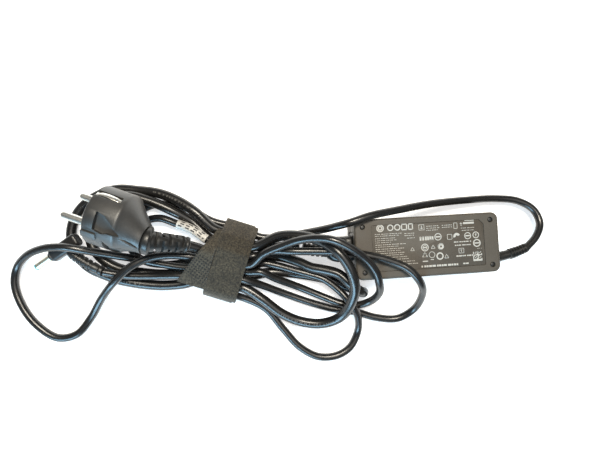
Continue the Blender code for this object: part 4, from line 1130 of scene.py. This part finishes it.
# ---------------------------------------------------------------- mains plug
PLUG_PROFILE = (
    (0.0, 0.0, 17.3), (0.25, 0.0, 17.9), (0.6, 0.0, 18.35), (1.1, 0.0, 18.5), (18.9, 0.0, 18.5),
    (19.6, 0.0, 18.4),
    (20.3, 0.05, 18.1), (20.9, 0.15, 17.5), (21.8, 0.4, 16.6), (23.0, 0.85, 15.6), (24.6, 1.4, 14.4),
    (26.2, 2.0, 13.3), (28.0, 2.75, 12.1), (29.8, 3.5, 11.0), (31.4, 4.25, 10.15), (32.8, 4.9, 9.5),
    (33.5, 5.2, 9.15),
)


def turned_axes(angle):
    """Outward and sideways vectors of the plug at an angle from its top towards its side."""
    a = math.radians(angle)
    out = PLUG_UP * math.cos(a) + PLUG_SIDE * math.sin(a)
    return out, PLUG_REAR.cross(out).normalized()


def plug_cutter(name, angle, outline, deep, high=24.0):
    out, across = turned_axes(angle)
    rings = []
    for level in (deep, high):
        rings.append([PLUG_FACE + PLUG_REAR * t + across * s + out * level for t, s in outline])
    return skin(name, rings, M["plug"])


def build_plug():
    rings = []
    for rear, offset, radius in PLUG_PROFILE:
        centre = PLUG_FACE + PLUG_REAR * rear + PLUG_SIDE * offset
        rings.append(placed(circle(radius, 72), centre, PLUG_PINS, PLUG_EARTH))
    body = skin("plug_shell", rings, M["plug"])
    cutters = [turned("cut_face", PLUG_FACE - PLUG_REAR, PLUG_REAR, ((0, 15.9), (5.0, 15.9)), M["plug"], 72)]
    cutters.append(turned("cut_earth", plug_point(-1.0, 0.0, 9.4), PLUG_REAR, ((0, 3.1), (19.0, 3.1)),
                          M["plug"]))
    for side in (1, -1):
        low, high = sorted((side * 16.3, side * 20.0))
        corners = ((-2.2, low), (2.2, low), (2.2, high), (-2.2, high))
        groove = [[plug_point(r, a, b) for a, b in corners] for r in (-1.0, 17.2)]
        cutters.append(skin("cut_groove", groove, M["plug"]))
    first = ((7.4, -6.6), (7.4, 4.6), (13.0, 5.8), (16.0, 4.6), (23.5, 4.4), (17.5, -2.4), (13.0, -5.2))
    second = ((13.4, -5.2), (13.4, 8.4), (27.6, 6.4), (24.6, 0.5), (20.0, -1.2), (16.2, -3.0))
    for angle, outline, deep in ((12.0, first, 15.3), (62.0, second, 15.6), (180.0, first, 15.6)):
        cutters.append(plug_cutter("cut_recess", angle, outline, deep))
    body = carved(body, cutters)
    body = edged(body, 0.32, 3, 32.0)
    settle(body, "base", ("plug_body",))
    out, across = turned_axes(40.0)
    place = PLUG_FACE + PLUG_REAR * 5.2 + out * 18.3
    guide = block("plug_guide", place, (out, PLUG_REAR, across), (2.4, 9.4, 4.6), M["plug"], 0.8, 4)
    settle(edged(guide, 0.25, 2, 40.0))
    bent_controls = (PLUG_FACE + PLUG_REAR * 20.2 + PLUG_UP * 13.6 + PLUG_SIDE * 7.6,
                     PLUG_FACE + PLUG_REAR * 27.0 + PLUG_UP * 10.6 + PLUG_SIDE * 10.4,
                     PLUG_FACE + PLUG_REAR * 33.3 + PLUG_UP * 6.3 + PLUG_SIDE * 11.0)
    profile = [(0.0, 0.2), (0.06, 0.7), (0.2, 1.1), (0.6, 1.1), (0.9, 0.9), (0.98, 0.4)]
    settle(bent("plug_ridge", bent_controls, rounded_profile(profile, 0.1, 2), M["plug"], 16))
    carrier = turned("plug_face", PLUG_FACE + PLUG_REAR * 0.3, PLUG_REAR,
                     ((0, 14.9), (0.15, 15.3), (0.4, 15.5), (3.3, 15.5)), M["plug"], 72)
    holes = [turned("cut_a", plug_point(-1.0, 0.0, 9.4), PLUG_REAR, ((0, 3.1), (6.0, 3.1)), M["plug"])]
    for side in (1, -1):
        holes.append(turned("cut_b", plug_point(-1.0, side * 9.5, 0), PLUG_REAR, ((0, 2.7), (7, 2.7)),
                            M["plug"]))
    carrier = edged(carved(carrier, holes), 0.2, 2, 50.0)
    settle(carrier, "base", ("plug_face_carrier",))
    line = ((0.6, 16.9), (1.6, 17.3), (3.0, 17.7), (5.5, 18.1), (8.0, 18.2), (10.5, 18.1), (13.0, 17.8),
            (15.0, 17.4),
            (16.8, 17.0))
    for number, side in ((1, 1), (2, -1)):
        rings = []
        for rear, out in line:
            corners = ((-1.5, out - 0.1), (-1.3, out - 0.25), (1.3, out - 0.25), (1.5, out - 0.1),
                       (1.5, out + 0.1),
                       (1.3, out + 0.25), (-1.3, out + 0.25), (-1.5, out + 0.1))
            rings.append([plug_point(rear, a, side * b) for a, b in corners])
        clip = skin("plug_clip_%d" % number, rings, M["nickel"])
        settle(clip, "base", ("plug_earth_clip_%d" % number,))
        tip = [(0, 0.25), (0.12, 0.8), (0.45, 1.4), (1.1, 1.95), (1.9, 2.3), (2.7, 2.4), (22.7, 2.4)]
        pin = turned("plug_pin_metal_%d" % number, plug_point(-19.0, side * 9.5, 0), PLUG_REAR, tip,
                     M["nickel"], 40)
        settle(pin, "base", ("plug_pin_%d" % number,))


def build_plug_neck():
    controls = plug_relief_axis()
    profile = [(0.0, 8.2), (0.015, 8.6), (0.03, 8.75), (0.09, 8.75), (0.105, 8.6), (0.12, 8.2), (0.135, 6.9),
               (0.15, 6.6), (0.17, 6.5), (0.86, 5.4), (0.9, 4.6), (0.915, 5.0), (0.93, 5.2), (0.97, 5.2),
               (0.985, 5.0), (0.995, 4.4)]
    neck = bent("plug_neck", controls, profile, M["relief"], 48)
    slots = []
    for row in range(5):
        t = 0.235 + row * 0.145
        centre = bezier(controls, t)
        ahead = bezier_slope(controls, t)
        u, v = side_axes(ahead)
        for k in range(3):
            a = math.radians(120.0 * k + 60.0 * (row % 2) + 62.0)
            out = u * math.cos(a) + v * math.sin(a)
            across = ahead.cross(out).normalized()
            slots.append(block("cut_slot", centre + out * 6.0, (out, ahead, across), (4.6, 1.5, 9.0),
                               M["relief"],
                               0.4, 2))
    carved(neck, slots)
    neck = edged(neck, 0.16, 2, 45.0)
    settle(neck, "base", ("plug_strain_relief",))


# ---------------------------------------------------------------- DC plug
def build_dc_plug():
    layers = ((12.9, 5.8, 5.8, 2.85), (13.05, 6.3, 6.3, 3.1), (13.4, 6.6, 6.6, 3.25), (14.2, 6.6, 6.6, 3.25),
              (14.45, 7.4, 6.0, 2.4), (14.8, 8.3, 6.7, 2.3), (15.4, 8.8, 7.0, 2.2), (27.0, 8.8, 7.0, 2.2),
              (34.4, 8.8, 7.0, 2.2), (35.3, 8.2, 6.5, 2.2), (35.8, 7.2, 5.6, 2.0), (36.0, 6.2, 4.8, 1.8))
    rings = []
    for ahead, wide, high, corner in layers:
        rings.append([dc_point(ahead, a, b) for a, b in rounded_rect(wide, high, corner, 8)])
    body = skin("dc_elbow", rings, M["black"])
    carved(body, [turned("cut_bore", dc_point(11.0, 0, 0), DC_AHEAD, ((0, 2.75), (6.0, 2.75)), M["black"])])
    smooth(body)
    settle(body, "base", ("dc_plug_body",))
    barrel = ((0.95, 1.75), (0.95, 2.25), (1.05, 2.35), (16.7, 2.35), (16.7, 1.75))
    shaft = turned("dc_barrel", DC_TIP, DC_AHEAD, barrel, M["barrel"], 48, True)
    settle(shaft, "base", ("dc_plug_barrel",))
    tip = ((0.0, 1.15), (0.0, 2.0), (0.08, 2.2), (0.3, 2.35), (0.75, 2.35), (0.75, 1.15))
    ring = turned("dc_tip_ring", DC_TIP, DC_AHEAD, tip, M["tip"], 48, True)
    settle(ring, "base", ("dc_plug_insulator",))
    start = dc_point(27.0, -4.75, 0.0)
    controls = (start, start - DC_SIDE * 5.8 + Vector((0, 0, 0.2)), Vector((-210.4, -4.1, 10.4)))
    profile = [(0.0, 3.2), (0.02, 3.4), (0.12, 3.4)]
    profile += rounded_profile(ribbed(0.16, 0.9, 6, 3.5, 3.35, 0.8), 0.18, 2)
    profile += [(0.905, 2.9), (0.92, 3.4), (0.935, 3.5), (0.975, 3.5), (0.99, 3.3)]
    settle(bent("dc_relief", controls, profile, M["relief"], 36), "base",
           ("dc_plug_strain_relief",))


# ---------------------------------------------------------------- strap
EDGE_ROUND = 0.25
UNDER_LEFT = -9.0
UNDER_THICK = 0.5
OVER_RIGHT = 9.2
OVER_THICK = 0.62
LAYER_LIFT = 0.52


def soft_outline(outline, steps=3):
    """Rounds a closed outline by cutting its corners a few times over."""
    for _ in range(steps):
        finer = []
        count = len(outline)
        for i in range(count):
            a = Vector(outline[i])
            b = Vector(outline[(i + 1) % count])
            finer.append(tuple(a.lerp(b, 0.25)))
            finer.append(tuple(a.lerp(b, 0.75)))
        outline = finer
    return outline


def band(name, outline, left_edge, right_edge, thick, material):
    """One turn of strap: a closed flat ring with softly rounded edges."""
    outside = offset_outline(outline, thick)
    mid = offset_outline(outline, thick / 2)
    left_in, right_in = left_edge + EDGE_ROUND, right_edge - EDGE_ROUND
    section = ((left_in, outline), (right_in, outline), (right_edge, mid), (right_in, outside),
               ((left_edge + right_edge) / 2, outside), (left_in, outside), (left_edge, mid))
    rings = []
    for u, line in section:
        rings.append([Vector(strap_point(u, v, max(0.05, z))) for v, z in line])
    obj = skin(name, rings, material, True, 60.0)
    layer = obj.data.uv_layers.new(name="weave")
    for loop in obj.data.loops:
        p = obj.data.vertices[loop.vertex_index].co / MM
        layer.data[loop.index].uv = (p.x, p.y)
    return obj


def build_strap():
    base_line = soft_outline(list(STRAP_INSIDE))
    under = band("strap_under", base_line, UNDER_LEFT, STRAP_RIGHT, UNDER_THICK, M["strap"])
    outer_line = offset_outline(base_line, LAYER_LIFT)
    outer = band("strap_over", outer_line, STRAP_LEFT, OVER_RIGHT, OVER_THICK, M["strap"])
    settle(under, "base", ("cord_strap",))
    settle(outer)
    rings = []
    fine = []
    for a, b in zip(TAIL_LINE, TAIL_LINE[1:]):
        for k in range(6):
            fine.append(tuple(x + (y - x) * k / 6 for x, y in zip(a, b)))
    fine.append(TAIL_LINE[-1])
    for _ in range(3):
        fine = [fine[0]] + [tuple((p + 2 * q + r) / 4 for p, q, r in zip(*three))
                            for three in zip(fine, fine[1:], fine[2:])] + [fine[-1]]
    for v, left_edge, z_left, z_right in fine:
        right_edge = STRAP_LEFT + EDGE_ROUND
        low = Vector(strap_point(left_edge, v, z_left))
        high = Vector(strap_point(right_edge, v, z_right))
        lift = Z * (STRAP_THICK * 0.85)
        ring = [low.lerp(high, k / 8) for k in range(9)]
        rings.append(ring + [p + lift for p in ring[::-1]])
    tail = skin("strap_tail", rings, M["mesh"], False, 60.0)
    layer = tail.data.uv_layers.new(name="weave")
    top = Vector(strap_point(TAIL_LINE[0][1], TAIL_LINE[0][0], 0.0))
    end = Vector(strap_point(TAIL_LINE[-1][1], TAIL_LINE[-1][0], 0.0))
    along = (end - top).normalized()
    across = Vector((-along.y, along.x, 0.0))
    for loop in tail.data.loops:
        p = tail.data.vertices[loop.vertex_index].co / MM - top
        layer.data[loop.index].uv = (p.dot(across) + 50.0, p.dot(along))
    settle(tail, "base", ("cord_strap_tail",))


def build_sleeve(path):
    first = nearest_index(path, (-161.5, 24.2, 9.5))
    last = nearest_index(path, (-142.5, 13.2, 12.4))
    low, high = sorted((first, last))
    stretch = path[low:high + 1]
    frames = along_frames(stretch)
    rings = []
    for radius, order in ((DC_RADIUS + 0.25, 1), (DC_RADIUS + 0.5, -1)):
        pairs = list(zip(stretch, frames))[::order]
        for point, (_, u, v) in pairs:
            rings.append(placed(circle(radius, 32), point, u, v))
    sleeve = skin("cord_sleeve", rings, M["paper"], True, 50.0)
    settle(sleeve, "base", ("cord_wrap_label",))
    marks = [(k, turn) for k in range(1, len(stretch) - 2) for row, turn in enumerate((-20, 10, 40))
             if (k * 3 + row * 5) % 7 in (0, 2, 3, 5)]
    store = ([], [])
    for k, turn in marks:
        corners = []
        for index in (k, k + 1):
            _, u, v = frames[index]
            for angle in (turn, turn + 16):
                a = math.radians(angle + 90)
                out = u * math.cos(a) + v * math.sin(a)
                corners.append(stretch[index] + out * (DC_RADIUS + 0.46))
                corners.append(stretch[index] + out * (DC_RADIUS + 0.54))
        faces = [(0, 1, 3, 2), (4, 6, 7, 5), (0, 4, 5, 1), (2, 3, 7, 6), (1, 5, 7, 3), (0, 2, 6, 4)]
        gather(store, (corners, faces))
    settle(make_mesh("sleeve_print", store[0], store[1], M["ferrite"], 30.0))


# ---------------------------------------------------------------- stage
# The stage is in metres: the floor lies just under the brick and reaches past every view.
FLOOR_REACH = 12.0
FLOOR_Z = -0.0002


def area_light(name, place, target, size, power, colour):
    data = bpy.data.lights.new(name, "AREA")
    data.shape = "RECTANGLE"
    data.size = size[0]
    data.size_y = size[1]
    data.energy = power
    data.color = colour
    light = bpy.data.objects.new(name, data)
    light.location = place
    light.rotation_euler = (Vector(target) - Vector(place)).to_track_quat("-Z", "Y").to_euler()
    bpy.context.scene.collection.objects.link(light)


def floor_material():
    material, tree, shader = new_material("paper_floor")
    coords = object_coords(tree)
    wide = noise(tree, coords, 1.2, 2.0)
    tree.links.new(ramp(tree, wide, ((0.3, 0.93), (0.7, 0.95))), shader.inputs["Base Color"])
    shader.inputs["Roughness"].default_value = 0.9
    shader.inputs["Specular IOR Level"].default_value = 0.1
    shader.inputs["Emission Color"].default_value = (1.0, 1.0, 1.0, 1.0)
    shader.inputs["Emission Strength"].default_value = 0.55
    return material


def build_stage():
    mesh = bpy.data.meshes.new("floor")
    corners = [(x * FLOOR_REACH, y * FLOOR_REACH, FLOOR_Z) for x, y in ((-1, -1), (1, -1), (1, 1), (-1, 1))]
    mesh.from_pydata(corners, [], [(0, 1, 2, 3)])
    floor = bpy.data.objects.new("floor", mesh)
    bpy.context.scene.collection.objects.link(floor)
    mesh.materials.append(floor_material())
    middle = (-0.1, 0.0, 0.01)
    area_light("key_warm", (-0.08, 0.42, 1.15), middle, (0.5, 0.26), 17.0, (1.0, 0.92, 0.78))
    area_light("fill_cool", (-0.55, -0.85, 0.5), middle, (0.8, 0.4), 15.0, (0.45, 0.76, 1.0))
    area_light("soft_top", (0.25, -0.1, 1.3), middle, (1.0, 0.8), 4.0, (1.0, 0.97, 0.93))
    world = bpy.data.worlds.new("studio")
    bpy.context.scene.world = world
    world.use_nodes = True
    background = world.node_tree.nodes["Background"]
    background.inputs["Color"].default_value = (0.94, 0.97, 1.0, 1.0)
    background.inputs["Strength"].default_value = 0.18
    bpy.context.scene.view_settings.view_transform = "Standard"


# ---------------------------------------------------------------- assembly
def declare_cords():
    bodies = bpy.data.objects
    plug = [bodies[name] for name in ("plug_shell", "plug_face", "plug_guide", "plug_ridge", "plug_neck",
                                      "plug_pin_metal_1", "plug_pin_metal_2", "plug_clip_1", "plug_clip_2",
                                      "cord_flex")]
    plug.append(cad_node("plug_earth_socket_sleeve"))
    connector = [bodies[name] for name in ("dc_elbow", "dc_barrel", "dc_tip_ring", "dc_relief", "cord_sleeve",
                                           "sleeve_print", "dc_grommet")]
    connector.append(cad_node("dc_plug_centre_pin"))


def cad_node(name):
    node = frame["nodes"][name]
    return bpy.data.objects[node] if isinstance(node, str) else node


def main():
    build_camera()
    made = build_cords()
    dress_cad_nodes()
    build_case()
    build_label_print()
    build_grommet()
    build_connector()
    build_plug()
    build_plug_neck()
    build_dc_plug()
    build_strap()
    build_sleeve(made["dc_path"])
    declare_cords()
    build_stage()


main()
